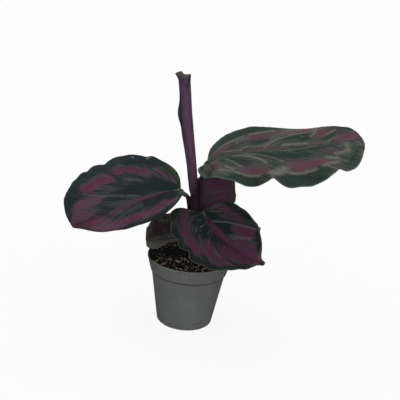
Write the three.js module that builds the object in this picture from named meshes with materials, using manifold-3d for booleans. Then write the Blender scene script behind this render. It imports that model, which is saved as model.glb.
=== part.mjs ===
// A young calathea in its nursery pot, in millimetres, with +Z up.
// The origin is the centre of the pot's flat underside, and -Y is the front.
import * as THREE from 'three';
import { mergeVertices } from 'three/addons/utils/BufferGeometryUtils.js';
import Module from 'manifold-3d';

const wasm = await Module();
wasm.setup();

// Driving dimensions, in millimetres and degrees
const clearance = 0.35;
const stalkClearance = 0.5;
const bladeThickness = 0.7;

const pot = {
  height: 50, rimRadius: 30.2, rimBevel: 0.3, collarHeight: 10.7, collarFootRadius: 27.6, step: 0.9,
  baseRadius: 20.2, baseBevel: 0.8, wall: 1, floor: 1.2, sides: 48,
  drainHoles: 6, drainRadius: 2, drainCircle: 12.5, drainSides: 12, drillLength: 4.8,
};

const soil = {
  potGap: 0.45, level: 49.2, heap: 1.9, heapSpread: 13, rings: 6, sides: 30, roughness: 0.6,
  ripples: [[0.9, 1.3, 0], [1.7, -0.8, 2], [0.5, 2.1, 4]],
  chips: 28, chipLength: [1.8, 5.2], chipWidth: [0.7, 1.6], chipFlatness: 0.8, chipTilt: 0.5,
  chipRaised: 0.15, chipFree: 5.8, chipRimGap: 2, seed: 7,
};

// The crown is a knobbly egg: slim is its girth at the ends, oval how much wider it is along X, and
// arc the stretch of a half circle that its outline follows
const crown = {
  centre: [3, 1.2], bottom: 30, top: 41, radius: 6.6, slim: 0.35, oval: 1.15, knobs: [0.5, 0.35],
  arc: [0.08, 0.88], sides: 14, rings: 7,
};
const stalkFoot = 41.4;

// The rolled leaf: its axis from the crown to its open top, and its radius at each point
const spear = {
  axis: [[4.9, 0, stalkFoot], [4.4, 0, 54], [2.7, 0, 70], [0.7, 0, 86], [-0.4, 0, 93.5], [-1.6, 0, 99.5],
    [-2.8, 0, 107], [-4.5, 0, 117], [-6.5, 0, 127], [-8.7, 0, 137.5], [-10.4, 0, 147.5],
    [-11.3, 0, 153], [-12.3, 0, 161], [-14.1, 0, 172], [-15, 0, 176.2]],
  radius: [1.95, 1.95, 1.95, 2, 2.35, 3.1, 3.35, 3.4, 3.7, 4.1, 4.05, 3.95, 3.8, 3.9, 4.7],
  seam: [190, 190, 200, 230, 250, 262, 275, 268, 250, 228, 196, 184, 178, 172, 170],
  lap: 0.16, mouthDepth: 13, mouthSteps: 4, wall: 0.8, sides: 17, steps: 27,
  peaks: [[160, 1.8, 26], [205, 1.4, 26], [10, 0.8, 30], [265, -0.8, 30]], peaksFrom: 0.86,
  flap: { height: 151, spread: 7, lift: 0.42, sharpness: 10 },
};

// The sheath of the right leaf's stalk, which clasps the rolled leaf; its mouth is cut on a slant
const sheath = {
  gap: 0.57, wall: 0.65, lowSide: [-4, 93.4], highSide: [1.2, 108], mouthRounds: 30, mouthPull: 0.3,
  sides: 16, steps: 10, holeTop: 59, holeSteps: 3,
};

// A stalk is a little thicker at the joint that its leaf turns on, just under the blade
const stalkShape = {
  jointFrom: 0.78, jointOver: 0.12, jointSwell: 0.16, endsAlong: 0.07, sides: 7, steps: 14,
  holeSides: 10, holeSteps: 10,
};

// The midrib stands out under the blade, for nearly its whole length
const midribShape = { base: 0.88, tip: 0.35, sunk: 0.3, reach: 0.94, sides: 5, steps: 10 };

// The side veins leave the midrib towards the tip and bend on to the margin. The lobe is the part of
// the blade that reaches back past the stalk, and the point is the drawn-out tip.
const veinShape = { rootPower: 1.25, bendPower: 1.4, lobeEnd: 0.36, pointReach: 0.05 };

// Leaves. heading, climb and roll aim the blade at its base; arch, sweep and twist bend it along its
// length. The two halves lie left and right of the midrib, seen from the stalk with the face up.
const leaves = {
  leaf_left: {
    base: [-10.3, 0, 97.5], heading: 218, climb: 8, roll: -22, length: 80.5, tip: 0.6,
    arch: 56, archSkew: -0.7, sweep: -4, sweepSkew: 0, twist: -40,
    left: { width: 20, widest: 0.4, fullness: 1.3, lobe: -1.2, cup: 26, curl: -22, fold: -72,
      foldFrom: 0.65, wave: 1.2, waves: 2.56, phase: 0.09 },
    right: { width: 31.7, widest: 0.52, fullness: 0.68, lobe: 4.5, cup: 30, curl: -21, fold: 0,
      foldFrom: 0.7, wave: 1.4, waves: 2.62, phase: 0.28 },
    stalk: [[-0.6, 2.6, stalkFoot], [-1.2, 2.7, 60], [-2.6, 2.8, 75], [-4.4, 2.5, 86], [-6.4, 1.5, 93],
      [-8.4, 0.7, 95.8]],
    stalkRadius: 1.35, along: 20, across: 5, color: 0x3a5a48,
  },
  leaf_right: {
    base: [5.8, -2, 119.7], heading: -33, climb: 29, roll: 39, length: 104, tip: 1.4,
    arch: 30, archSkew: -0.67, sweep: 20.6, sweepSkew: 0.72, twist: -10,
    left: { width: 26, widest: 0.41, fullness: 0.72, lobe: 5.3, cup: 9, curl: -23, fold: 0,
      foldFrom: 0.7, wave: -2.1, waves: 1.93, phase: 0.13 },
    right: { width: 32.7, widest: 0.6, fullness: 0.77, lobe: 9.4, cup: 3, curl: -21, fold: 0,
      foldFrom: 0.7, wave: 4.2, waves: 4.6, phase: -0.07 },
    stalk: [[8.3, 0, stalkFoot], [7.8, 0, 54], [6.3, 0, 70], [4.7, -0.2, 85], [4.1, -0.5, 92.5],
      [3.6, -1, 100], [2.9, -1.5, 108], [3.9, -1.9, 114]],
    stalkRadius: 1.25, along: 28, across: 5, color: 0x5c7a66,
  },
  leaf_front: {
    base: [6.4, -8, 86], heading: -68, climb: -21, roll: 35, length: 60.3, tip: 2.7,
    arch: 11, archSkew: 0, sweep: 37, sweepSkew: 0.05, twist: 2,
    left: { width: 24, widest: 0.45, fullness: 0.77, lobe: 2.3, cup: 14, curl: -19, fold: 0,
      foldFrom: 0.7, wave: 0.8, waves: 2.5, phase: 0.02 },
    right: { width: 28.1, widest: 0.45, fullness: 0.72, lobe: 9.6, cup: 37, curl: -19, fold: 0,
      foldFrom: 0.7, wave: 1.5, waves: 2.7, phase: 0.09 },
    stalk: [[6.6, -6.2, stalkFoot], [6.6, -6.4, 60], [6.5, -6.6, 74], [6.3, -7.1, 82]],
    stalkRadius: 1.2, along: 18, across: 5, color: 0x6a4a5c,
  },
  leaf_back: {
    base: [6.7, 6, 81.6], heading: 64, climb: 77, roll: 25, length: 34, tip: 1.2,
    arch: 20, archSkew: 0, sweep: -20, sweepSkew: 0, twist: 2,
    left: { width: 11, widest: 0.45, fullness: 0.9, lobe: 3, cup: 20, curl: -20, fold: 0,
      foldFrom: 0.7, wave: 0.6, waves: 2.5, phase: 0 },
    right: { width: 20.5, widest: 0.42, fullness: 0.66, lobe: 4, cup: 4, curl: -23, fold: 0,
      foldFrom: 0.7, wave: 1.2, waves: 2.6, phase: 0.12 },
    stalk: [[6.4, 6, stalkFoot], [6.4, 6.1, 60], [6.5, 6.1, 74]],
    stalkRadius: 1.1, along: 15, across: 4, color: 0x6a3e56,
  },
  leaf_small: {
    base: [-8.2, 5, 59.7], heading: 182, climb: -4, roll: -42, length: 24.5, tip: 0.7,
    arch: 19, archSkew: 0, sweep: 3, sweepSkew: 0, twist: 0,
    left: { width: 11.6, widest: 0.6, fullness: 0.95, lobe: 0, cup: 37, curl: -6, fold: 0,
      foldFrom: 0.7, wave: 0.8, waves: 2.6, phase: 0.17 },
    right: { width: 18.5, widest: 0.42, fullness: 0.7, lobe: 3, cup: 28, curl: -10, fold: 0,
      foldFrom: 0.7, wave: 0.5, waves: 2.5, phase: 0.02 },
    stalk: [[-1.6, 6.8, stalkFoot], [-1.9, 6.8, 50], [-3.6, 6.2, 56]],
    stalkRadius: 0.9, along: 14, across: 4, color: 0x5a5648,
  },
};

// Shared shape helpers
const radians = THREE.MathUtils.degToRad;
const smoothStep = (x) => THREE.MathUtils.smoothstep(x, 0, 1);
const vector = (point) => new THREE.Vector3(...point);

function seededRandom(seed) {
  let state = seed;
  return () => {
    state = (state * 16807) % 2147483647;
    return state / 2147483647;
  };
}

function toSolid(geometry) {
  const plain = geometry.clone();
  plain.deleteAttribute('normal');
  plain.deleteAttribute('uv');
  const merged = mergeVertices(plain, 1e-4);
  return new wasm.Manifold(new wasm.Mesh({
    numProp: 3,
    vertProperties: new Float32Array(merged.attributes.position.array),
    triVerts: new Uint32Array(merged.index.array),
  }));
}

function toGeometry(solid) {
  const mesh = solid.getMesh();
  const geometry = new THREE.BufferGeometry();
  geometry.setAttribute('position', new THREE.BufferAttribute(new Float32Array(mesh.vertProperties), 3));
  geometry.setIndex(new THREE.BufferAttribute(new Uint32Array(mesh.triVerts), 1));
  geometry.computeVertexNormals();
  return geometry;
}

// The largest body of a solid, without the loose scraps that a cut can leave
function mainBody(solid) {
  return solid.decompose().sort((a, b) => b.volume() - a.volume())[0];
}

function indexedGeometry(points, triangles) {
  const geometry = new THREE.BufferGeometry().setFromPoints(points);
  geometry.setIndex(triangles.flat());
  return geometry;
}

// Skins a row of rings, each with the same number of points going round counter-clockwise.
// An open row is closed by a fan at each end; a looped row joins its last ring to its first.
function loft(rings, looped = false) {
  const sides = rings[0].length;
  const points = rings.flat();
  const triangles = [];
  const joins = looped ? rings.length : rings.length - 1;
  for (let i = 0; i < joins; i++) {
    const low = i * sides;
    const high = ((i + 1) % rings.length) * sides;
    for (let k = 0; k < sides; k++) {
      const next = (k + 1) % sides;
      triangles.push([low + k, low + next, high + next], [low + k, high + next, high + k]);
    }
  }
  if (!looped) {
    const middle = (ring) => (
      ring.reduce((sum, point) => sum.add(point), new THREE.Vector3()).divideScalar(sides)
    );
    const first = points.push(middle(rings[0])) - 1;
    const last = points.push(middle(rings.at(-1))) - 1;
    const lastRing = (rings.length - 1) * sides;
    for (let k = 0; k < sides; k++) {
      const next = (k + 1) % sides;
      triangles.push([first, next, k], [last, lastRing + k, lastRing + next]);
    }
  }
  return indexedGeometry(points, triangles);
}

function tube(path, radii, sides, steps) {
  const curve = new THREE.CatmullRomCurve3(path.map(vector), false, 'centripetal');
  const frames = curve.computeFrenetFrames(steps, false);
  const rings = [];
  for (let i = 0; i <= steps; i++) {
    const centre = curve.getPointAt(i / steps);
    const radius = typeof radii === 'function' ? radii(i / steps) : radii;
    rings.push(Array.from({ length: sides }, (_, k) => {
      const angle = (2 * Math.PI * k) / sides;
      return centre.clone()
        .addScaledVector(frames.normals[i], radius * Math.cos(angle))
        .addScaledVector(frames.binormals[i], radius * Math.sin(angle));
    }));
  }
  return toSolid(loft(rings));
}

// Interpolates a table of values at evenly numbered stations
function tableValue(table, station) {
  const at = THREE.MathUtils.clamp(station, 0, table.length - 1);
  const low = Math.min(Math.floor(at), table.length - 2);
  return THREE.MathUtils.lerp(table[low], table[low + 1], at - low);
}

// Leaf blades
const midribSteps = 60;
const sectionSteps = 48;

function midribFrames(leaf) {
  const heading = radians(leaf.heading);
  const climb = radians(leaf.climb);
  const forward = new THREE.Vector3(
    Math.cos(climb) * Math.cos(heading), Math.cos(climb) * Math.sin(heading), Math.sin(climb),
  );
  const side = new THREE.Vector3(-Math.sin(heading), Math.cos(heading), 0);
  const up = forward.clone().cross(side);
  side.applyAxisAngle(forward, radians(leaf.roll));
  up.applyAxisAngle(forward, radians(leaf.roll));
  const point = vector(leaf.base);
  const frames = [{ point: point.clone(), forward: forward.clone(), side: side.clone(), up: up.clone() }];
  for (let i = 0; i < midribSteps; i++) {
    const middle = (2 * i + 1) / midribSteps - 1;
    const turns = [
      [side.clone(), (radians(leaf.arch) / midribSteps) * (1 + leaf.archSkew * middle)],
      [up.clone(), (radians(leaf.sweep) / midribSteps) * (1 + leaf.sweepSkew * middle)],
    ];
    for (const [axis, angle] of turns) {
      for (const direction of [forward, side, up]) direction.applyAxisAngle(axis, angle);
    }
    side.applyAxisAngle(forward, radians(leaf.twist) / midribSteps);
    up.applyAxisAngle(forward, radians(leaf.twist) / midribSteps);
    point.addScaledVector(forward, leaf.length / midribSteps);
    frames.push({ point: point.clone(), forward: forward.clone(), side: side.clone(), up: up.clone() });
  }
  return frames;
}

function frameAt(leaf, frames, distance) {
  const at = THREE.MathUtils.clamp((distance / leaf.length) * midribSteps, 0, midribSteps - 1e-6);
  const low = Math.floor(at);
  const mix = (key) => frames[low][key].clone().lerp(frames[low + 1][key], at - low);
  const frame = { point: mix('point'), forward: mix('forward'), side: mix('side'), up: mix('up') };
  const beyond = Math.min(distance, 0) + Math.max(distance - leaf.length, 0);
  frame.point.addScaledVector(frame.forward, beyond);
  return frame;
}

// The cross-section of one half: how far a point at a given width lies out, up and tilted
function crossSection(half) {
  const tilt = (x) => radians(half.cup + half.curl * x
    + half.fold * smoothStep((x - half.foldFrom) / (1 - half.foldFrom)));
  const stations = [{ out: 0, rise: 0 }];
  for (let i = 0; i < sectionSteps; i++) {
    const angle = tilt((i + 0.5) / sectionSteps);
    const last = stations[i];
    const step = half.width / sectionSteps;
    stations.push({ out: last.out + step * Math.cos(angle), rise: last.rise + step * Math.sin(angle) });
  }
  return (width) => {
    const share = THREE.MathUtils.clamp(width / half.width, 0, 1);
    const at = Math.min(share * sectionSteps, sectionSteps - 1e-6);
    const low = Math.floor(at);
    return {
      out: THREE.MathUtils.lerp(stations[low].out, stations[low + 1].out, at - low),
      rise: THREE.MathUtils.lerp(stations[low].rise, stations[low + 1].rise, at - low),
      tilt: tilt(share),
    };
  };
}

// A point of one half: t runs from the base to the tip, s along a side vein to the margin
function bladePoint(leaf, frames, half, section, sign, t, s) {
  const power = Math.log(0.5) / Math.log(half.widest);
  const marginWidth = half.width * Math.max(Math.sin(Math.PI * t ** power), 0) ** half.fullness;
  const lobe = half.lobe * Math.sin(Math.PI * Math.min(t / veinShape.lobeEnd, 1));
  const tipPoint = leaf.tip * Math.exp(-(((1 - t) / veinShape.pointReach) ** 2));
  const marginAt = (leaf.length * (1 - Math.cos(Math.PI * t))) / 2 - lobe + tipPoint;
  const veinRoot = leaf.length * t ** veinShape.rootPower;
  const distance = veinRoot + (marginAt - veinRoot) * s ** veinShape.bendPower;
  const frame = frameAt(leaf, frames, distance);
  const { out, rise, tilt } = section(marginWidth * s);
  const calm = Math.max(Math.sin(Math.PI * t), 0) ** 0.5;
  const wave = half.wave * s * s * calm * Math.sin(2 * Math.PI * (half.waves * t + half.phase));
  return frame.point
    .addScaledVector(frame.side, sign * (out - wave * Math.sin(tilt)))
    .addScaledVector(frame.up, rise + wave * Math.cos(tilt));
}

// One sheet of triangles for the whole blade, its two halves joined along the midrib
function bladeSheet(leaf) {
  const frames = midribFrames(leaf);
  const points = [];
  const places = new Map();
  const triangles = [];
  const pointIndex = (p) => {
    const key = p.toArray().map((value) => Math.round(value * 1000)).join(' ');
    if (!places.has(key)) places.set(key, points.push(p) - 1);
    return places.get(key);
  };
  for (const [half, sign] of [[leaf.left, 1], [leaf.right, -1]]) {
    const section = crossSection(half);
    const rows = [];
    for (let i = 0; i <= leaf.along; i++) {
      rows.push(Array.from({ length: leaf.across + 1 }, (_, j) => pointIndex(
        bladePoint(leaf, frames, half, section, sign, i / leaf.along, j / leaf.across),
      )));
    }
    for (let i = 0; i < leaf.along; i++) {
      for (let j = 0; j < leaf.across; j++) {
        const [a, b, c, d] = [rows[i][j], rows[i + 1][j], rows[i + 1][j + 1], rows[i][j + 1]];
        const pair = [[a, b, c], [a, c, d]].filter(([p, q, r]) => p !== q && q !== r && r !== p);
        triangles.push(...pair.map(([p, q, r]) => (sign > 0 ? [p, q, r] : [p, r, q])));
      }
    }
  }
  return { points, triangles };
}

// Gives a sheet its thickness: the same triangles on both faces, and a wall round the edge
function thicken({ points, triangles }, thickness) {
  const normals = points.map(() => new THREE.Vector3());
  const edges = new Map();
  for (const [a, b, c] of triangles) {
    const normal = points[b].clone().sub(points[a]).cross(points[c].clone().sub(points[a]));
    for (const corner of [a, b, c]) normals[corner].add(normal);
    for (const [from, to] of [[a, b], [b, c], [c, a]]) {
      if (!edges.delete(`${to} ${from}`)) edges.set(`${from} ${to}`, [from, to]);
    }
  }
  const face = (side) => points.map((p, i) => (
    p.clone().addScaledVector(normals[i].clone().normalize(), (side * thickness) / 2)
  ));
  const count = points.length;
  const solidTriangles = triangles.flatMap(([a, b, c]) => [
    [a, b, c], [a + count, c + count, b + count],
  ]);
  for (const [from, to] of edges.values()) {
    solidTriangles.push([from, from + count, to + count], [from, to + count, to]);
  }
  return toSolid(indexedGeometry([...face(1), ...face(-1)], solidTriangles));
}

// The points of a leaf's midrib, just under its blade, as far as a share of its length
function midribPath(leaf, reach) {
  const frames = midribFrames(leaf).slice(0, Math.floor(midribSteps * reach) + 1);
  return frames.map(({ point, up }) => point.addScaledVector(up, -midribShape.sunk).toArray());
}

function midrib(leaf) {
  const radius = (t) => leaf.stalkRadius * THREE.MathUtils.lerp(midribShape.base, midribShape.tip, t);
  return tube(midribPath(leaf, midribShape.reach), radius, midribShape.sides, midribShape.steps);
}

function stalk(leaf) {
  const { jointFrom, jointOver, jointSwell, sides, steps } = stalkShape;
  const radius = (t) => leaf.stalkRadius * (1 + jointSwell * smoothStep((t - jointFrom) / jointOver));
  const end = midribPath(leaf, stalkShape.endsAlong).at(-1);
  return tube([...leaf.stalk, leaf.base, end], radius, sides, steps);
}

// The room in the soil for the foot of a stalk
function stalkHole(leaf) {
  const { holeSides, holeSteps } = stalkShape;
  const [x, y, z] = leaf.stalk[0];
  const path = [[x, y, z - clearance], ...leaf.stalk];
  return tube(path, leaf.stalkRadius + stalkClearance, holeSides, holeSteps);
}

function leafSolid(leaf) {
  return thicken(bladeSheet(leaf), bladeThickness).add(midrib(leaf)).add(stalk(leaf));
}

// The rolled leaf and the sheath round its foot
const spearCurve = new THREE.CatmullRomCurve3(spear.axis.map(vector), false, 'centripetal');
const spearStations = spear.axis.length - 1;

function spearAtHeight(height) {
  let station = 0;
  while (station < spearStations - 1 && spear.axis[station + 1][2] < height) station += 1;
  const [low, high] = [spear.axis[station][2], spear.axis[station + 1][2]];
  const at = station + (height - low) / (high - low);
  return {
    centre: spearCurve.getPoint(THREE.MathUtils.clamp(at / spearStations, 0, 1)),
    radius: tableValue(spear.radius, at),
    seam: tableValue(spear.seam, at),
  };
}

const angleBetween = (a, b) => Math.abs(((a - b + 540) % 360) - 180);

// One ring of the roll. The radius grows round it, so its outer edge laps over the start.
function spearRing(height, inset, ragged) {
  const { centre, radius, seam } = spearAtHeight(height);
  const { flap } = spear;
  const flapHere = flap.lift * Math.exp(-(((height - flap.height) / flap.spread) ** 2));
  return Array.from({ length: spear.sides + 1 }, (_, k) => {
    const share = k / spear.sides;
    const angle = seam + 360 * share;
    const lift = 1 - spear.lap / 2 + spear.lap * share + flapHere * share ** flap.sharpness;
    const reach = radius * (inset ? 1 - spear.lap / 2 : lift) - inset;
    const rag = spear.peaks.reduce((sum, [peak, rise, spread]) => (
      sum + rise * Math.exp(-((angleBetween(angle % 360, peak) / spread) ** 2))
    ), 0);
    return new THREE.Vector3(
      centre.x + reach * Math.cos(radians(angle)),
      centre.y + reach * Math.sin(radians(angle)),
      height + ragged * rag,
    );
  });
}

function rolledLeaf() {
  const top = spear.axis[spearStations][2];
  const rings = [];
  for (let i = 0; i <= spear.steps; i++) {
    const share = i / spear.steps;
    const ragged = smoothStep((share - spear.peaksFrom) / (1 - spear.peaksFrom));
    rings.push(spearRing(THREE.MathUtils.lerp(stalkFoot, top, share), 0, ragged));
  }
  for (let i = 0; i <= spear.mouthSteps; i++) {
    const share = i / spear.mouthSteps;
    rings.push(spearRing(top - spear.mouthDepth * share, spear.wall + share, 1 - share));
  }
  return toSolid(loft(rings));
}

function aroundSpear(height, angle, offset) {
  const { centre, radius } = spearAtHeight(height);
  const reach = radius * (1 + spear.lap / 2) + offset;
  return new THREE.Vector3(centre.x + reach * Math.cos(angle), centre.y + reach * Math.sin(angle), height);
}

// How high the sheath reaches at an angle, found by stepping towards its slanted mouth
function sheathMouth(angle) {
  const [[lowX, low], [highX, high]] = [sheath.lowSide, sheath.highSide];
  let height = low;
  for (let i = 0; i < sheath.mouthRounds; i++) {
    const { x } = aroundSpear(height, angle, sheath.gap + sheath.wall);
    const cut = THREE.MathUtils.mapLinear(x, lowX, highX, low, high);
    height += sheath.mouthPull * (THREE.MathUtils.clamp(cut, low, high) - height);
  }
  return height;
}

function sheathTube() {
  const ring = (share, offset) => Array.from({ length: sheath.sides }, (_, k) => {
    const angle = (2 * Math.PI * k) / sheath.sides;
    return aroundSpear(THREE.MathUtils.lerp(stalkFoot, sheathMouth(angle), share), angle, offset);
  });
  const rings = [];
  for (let i = 0; i <= sheath.steps; i++) rings.push(ring(i / sheath.steps, sheath.gap + sheath.wall));
  for (let i = sheath.steps; i >= 0; i--) rings.push(ring(i / sheath.steps, sheath.gap));
  return toSolid(loft(rings, true));
}

// The rootstock that every stalk grows from, inside the soil
function crownSolid(extra = 0) {
  const [arcFrom, arcTo] = crown.arc;
  const rings = [];
  for (let i = 0; i <= crown.rings; i++) {
    const share = i / crown.rings;
    const height = THREE.MathUtils.lerp(crown.bottom - extra, crown.top + extra, share);
    const bulge = Math.sin(Math.PI * THREE.MathUtils.lerp(arcFrom, arcTo, share));
    const girth = crown.radius * THREE.MathUtils.lerp(crown.slim, 1, bulge) + extra;
    rings.push(Array.from({ length: crown.sides }, (_, k) => {
      const angle = (2 * Math.PI * k) / crown.sides;
      const [large, small] = crown.knobs;
      const bumps = large * Math.sin(3 * angle + 5 * share) + small * Math.sin(5 * angle - 4 * share);
      const reach = girth + bumps;
      const [x, y] = [crown.oval * reach * Math.cos(angle), reach * Math.sin(angle)];
      return new THREE.Vector3(crown.centre[0] + x, crown.centre[1] + y, height);
    }));
  }
  return toSolid(loft(rings));
}

// The pot. The ledge is the height of the step on its inside, under the collar.
const collarFoot = pot.height - pot.collarHeight;
const bodyTopRadius = pot.collarFootRadius - pot.step;
const ledge = collarFoot + pot.wall;

function potSolid() {
  const { baseRadius, baseBevel, rimRadius, rimBevel, collarFootRadius, height, floor, wall } = pot;
  const profile = [
    [0, 0], [baseRadius - baseBevel, 0], [baseRadius, baseBevel], [bodyTopRadius, collarFoot],
    [collarFootRadius, collarFoot + rimBevel], [rimRadius - rimBevel / 2, height - 2 * rimBevel],
    [rimRadius - rimBevel, height], [rimRadius - wall + rimBevel / 2, height],
    [rimRadius - wall, height - rimBevel], [collarFootRadius - wall, ledge + rimBevel],
    [bodyTopRadius - wall, ledge - rimBevel], [baseRadius - wall, floor], [0, floor],
  ];
  const lathe = new THREE.LatheGeometry(profile.map(([x, y]) => new THREE.Vector2(x, y)), pot.sides);
  lathe.rotateX(Math.PI / 2);
  let body = toSolid(lathe);
  for (let i = 0; i < pot.drainHoles; i++) {
    const angle = (2 * Math.PI * (i + 0.5)) / pot.drainHoles;
    const { drainRadius, drillLength, drainSides } = pot;
    const hole = new THREE.CylinderGeometry(drainRadius, drainRadius, drillLength, drainSides);
    hole.rotateX(Math.PI / 2);
    hole.translate(pot.drainCircle * Math.cos(angle), pot.drainCircle * Math.sin(angle), 0);
    body = body.subtract(toSolid(hole));
  }
  return body;
}

// The soil: a plug that fills the pot, heaped a little round the stalks, with chips on top
function soilHeight(x, y) {
  const away = Math.hypot(x - crown.centre[0], y - crown.centre[1]);
  const heap = soil.heap * Math.exp(-((away / soil.heapSpread) ** 2));
  const rough = soil.ripples.reduce((sum, [alongX, alongY, shift]) => (
    sum + Math.sin(alongX * x + alongY * y + shift)
  ), 0);
  return soil.level + heap + (soil.roughness * rough) / soil.ripples.length;
}

function soilPlug() {
  const circle = (radius, height) => Array.from({ length: soil.sides }, (_, k) => {
    const angle = (2 * Math.PI * k) / soil.sides;
    const [x, y] = [radius * Math.cos(angle), radius * Math.sin(angle)];
    return new THREE.Vector3(x, y, height ?? soilHeight(x, y));
  });
  const potFit = pot.wall + soil.potGap;
  const rimShare = (soil.level - collarFoot) / pot.collarHeight;
  const rimRadius = THREE.MathUtils.lerp(pot.collarFootRadius, pot.rimRadius, rimShare) - potFit;
  const rings = [
    circle(pot.baseRadius - potFit, pot.floor + clearance),
    circle(bodyTopRadius - potFit, ledge - pot.rimBevel),
    circle(pot.collarFootRadius - potFit, ledge + pot.rimBevel + pot.wall),
  ];
  for (let i = 0; i < soil.rings; i++) rings.push(circle(rimRadius * (1 - i / soil.rings)));
  return { plug: toSolid(loft(rings)), rimRadius };
}

function soilSolid() {
  const random = seededRandom(soil.seed);
  const between = ([low, high]) => low + (high - low) * random();
  const { plug, rimRadius } = soilPlug();
  const stalkFeet = [...Object.values(leaves).map((leaf) => leaf.stalk[0]), spear.axis[0]];
  const chips = [];
  while (chips.length < soil.chips) {
    const angle = 2 * Math.PI * random();
    const radius = (rimRadius - soil.chipRimGap) * Math.sqrt(random());
    const [x, y] = [radius * Math.cos(angle), radius * Math.sin(angle)];
    const length = Math.min(between(soil.chipLength), 2 * (rimRadius - radius));
    const width = between(soil.chipWidth);
    const chip = new THREE.BoxGeometry(length, width, width * soil.chipFlatness);
    chip.rotateX(Math.PI * random());
    chip.rotateY(soil.chipTilt * (random() - 0.5));
    chip.rotateZ(Math.PI * random());
    chip.translate(x, y, soilHeight(x, y) + soil.chipRaised);
    const free = stalkFeet.every(([footX, footY]) => Math.hypot(x - footX, y - footY) > soil.chipFree);
    if (free) chips.push(toSolid(chip));
  }
  let body = chips.reduce((sum, chip) => sum.add(chip), plug);
  const stalkHoles = Object.values(leaves).map(stalkHole);
  for (const hole of [sheathHole(), crownSolid(clearance), ...stalkHoles]) body = body.subtract(hole);
  return mainBody(body);
}

// The room in the soil for the foot of the sheath
function sheathHole() {
  const offset = sheath.gap + sheath.wall + clearance;
  const rings = [];
  for (let i = 0; i <= sheath.holeSteps; i++) {
    const height = THREE.MathUtils.lerp(stalkFoot - clearance, sheath.holeTop, i / sheath.holeSteps);
    rings.push(Array.from({ length: sheath.sides }, (_, k) => (
      aroundSpear(height, (2 * Math.PI * k) / sheath.sides, offset)
    )));
  }
  return toSolid(loft(rings));
}

// The assembly
const assembly = new THREE.Group();

function addPiece(name, solid, color, roughness) {
  const material = new THREE.MeshStandardMaterial({ color, roughness, metalness: 0 });
  const mesh = new THREE.Mesh(toGeometry(solid), material);
  mesh.name = name;
  assembly.add(mesh);
}

addPiece('pot', potSolid(), 0x8a8c90, 0.6);
addPiece('soil', soilSolid(), 0x2c241e, 0.95);
addPiece('crown', crownSolid(), 0x6b5a42, 0.8);
addPiece('leaf_rolled', rolledLeaf(), 0x6a4a6c, 0.5);
for (const [name, leaf] of Object.entries(leaves)) {
  const solid = leafSolid(leaf);
  addPiece(name, name === 'leaf_right' ? solid.add(sheathTube()) : solid, leaf.color, 0.45);
}

export default assembly;
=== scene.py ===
import math

import bmesh
import bpy
import numpy as np
from mathutils import Matrix, Vector


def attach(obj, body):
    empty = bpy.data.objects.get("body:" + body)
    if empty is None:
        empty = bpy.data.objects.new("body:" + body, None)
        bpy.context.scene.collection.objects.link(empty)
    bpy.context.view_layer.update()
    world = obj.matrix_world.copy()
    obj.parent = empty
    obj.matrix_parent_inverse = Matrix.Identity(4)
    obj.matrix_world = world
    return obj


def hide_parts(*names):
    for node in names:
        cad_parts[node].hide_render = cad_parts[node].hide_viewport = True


# A young calathea in its nursery pot, dressed for a photograph.
# Sizes here are in millimetres, as in the CAD, and newObject() turns them into metres.
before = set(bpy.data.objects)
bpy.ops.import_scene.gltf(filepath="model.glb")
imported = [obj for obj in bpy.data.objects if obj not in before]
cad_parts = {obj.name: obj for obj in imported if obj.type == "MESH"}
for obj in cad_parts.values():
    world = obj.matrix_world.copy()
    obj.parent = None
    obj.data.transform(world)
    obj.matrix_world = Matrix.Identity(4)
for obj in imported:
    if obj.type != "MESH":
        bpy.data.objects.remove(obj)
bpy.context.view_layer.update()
view = bpy.context.scene
millimetre = 0.001
uvName = "OFBake"


# Numbers and curves

def mix(a, b, share):
    return a + (b - a) * share


def smoothStep(x, low=0.0, high=1.0):
    share = np.clip((x - low) / (high - low), 0, 1)
    return share * share * (3 - 2 * share)


def bell(x, width):
    return np.exp(-(x / width) ** 2)


def unit(vectors):
    return vectors / np.maximum(np.linalg.norm(vectors, axis=-1, keepdims=True), 1e-9)


def turned(vector, axis, angle):
    return (vector * math.cos(angle) + np.cross(axis, vector) * math.sin(angle)
            + axis * (axis @ vector) * (1 - math.cos(angle)))


def softNoise(x, y, seed):
    # smooth hills between -1 and 1, about one unit across
    size = 64
    hills = np.random.default_rng(seed).random((size, size)) * 2 - 1
    x, y = np.broadcast_arrays(x, y)
    column, row = np.floor(x).astype(int), np.floor(y).astype(int)
    shareX, shareY = smoothStep(x - column), smoothStep(y - row)
    column, row = column % size, row % size
    nextColumn, nextRow = (column + 1) % size, (row + 1) % size
    low = mix(hills[row, column], hills[row, nextColumn], shareX)
    high = mix(hills[nextRow, column], hills[nextRow, nextColumn], shareX)
    return mix(low, high, shareY)


def curvePoint(points, at):
    # a centripetal Catmull-Rom curve, where at counts the points passed
    points = np.array(points, float)
    points = np.vstack([2 * points[0] - points[1], points, 2 * points[-1] - points[-2]])
    at = np.clip(np.asarray(at, float), 0, len(points) - 3 - 1e-9)
    low = at.astype(int)
    share = (at - low)[..., None]
    p0, p1, p2, p3 = (points[low + k] for k in range(4))
    gap0, gap1, gap2 = (np.sqrt(np.linalg.norm(b - a, axis=-1, keepdims=True))
                        for a, b in ((p0, p1), (p1, p2), (p2, p3)))
    slope1 = ((p1 - p0) / gap0 - (p2 - p0) / (gap0 + gap1) + (p2 - p1) / gap1) * gap1
    slope2 = ((p2 - p1) / gap1 - (p3 - p1) / (gap1 + gap2) + (p3 - p2) / gap2) * gap1
    return (p1 + slope1 * share + (3 * (p2 - p1) - 2 * slope1 - slope2) * share ** 2
            + (2 * (p1 - p2) + slope1 + slope2) * share ** 3)


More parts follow.
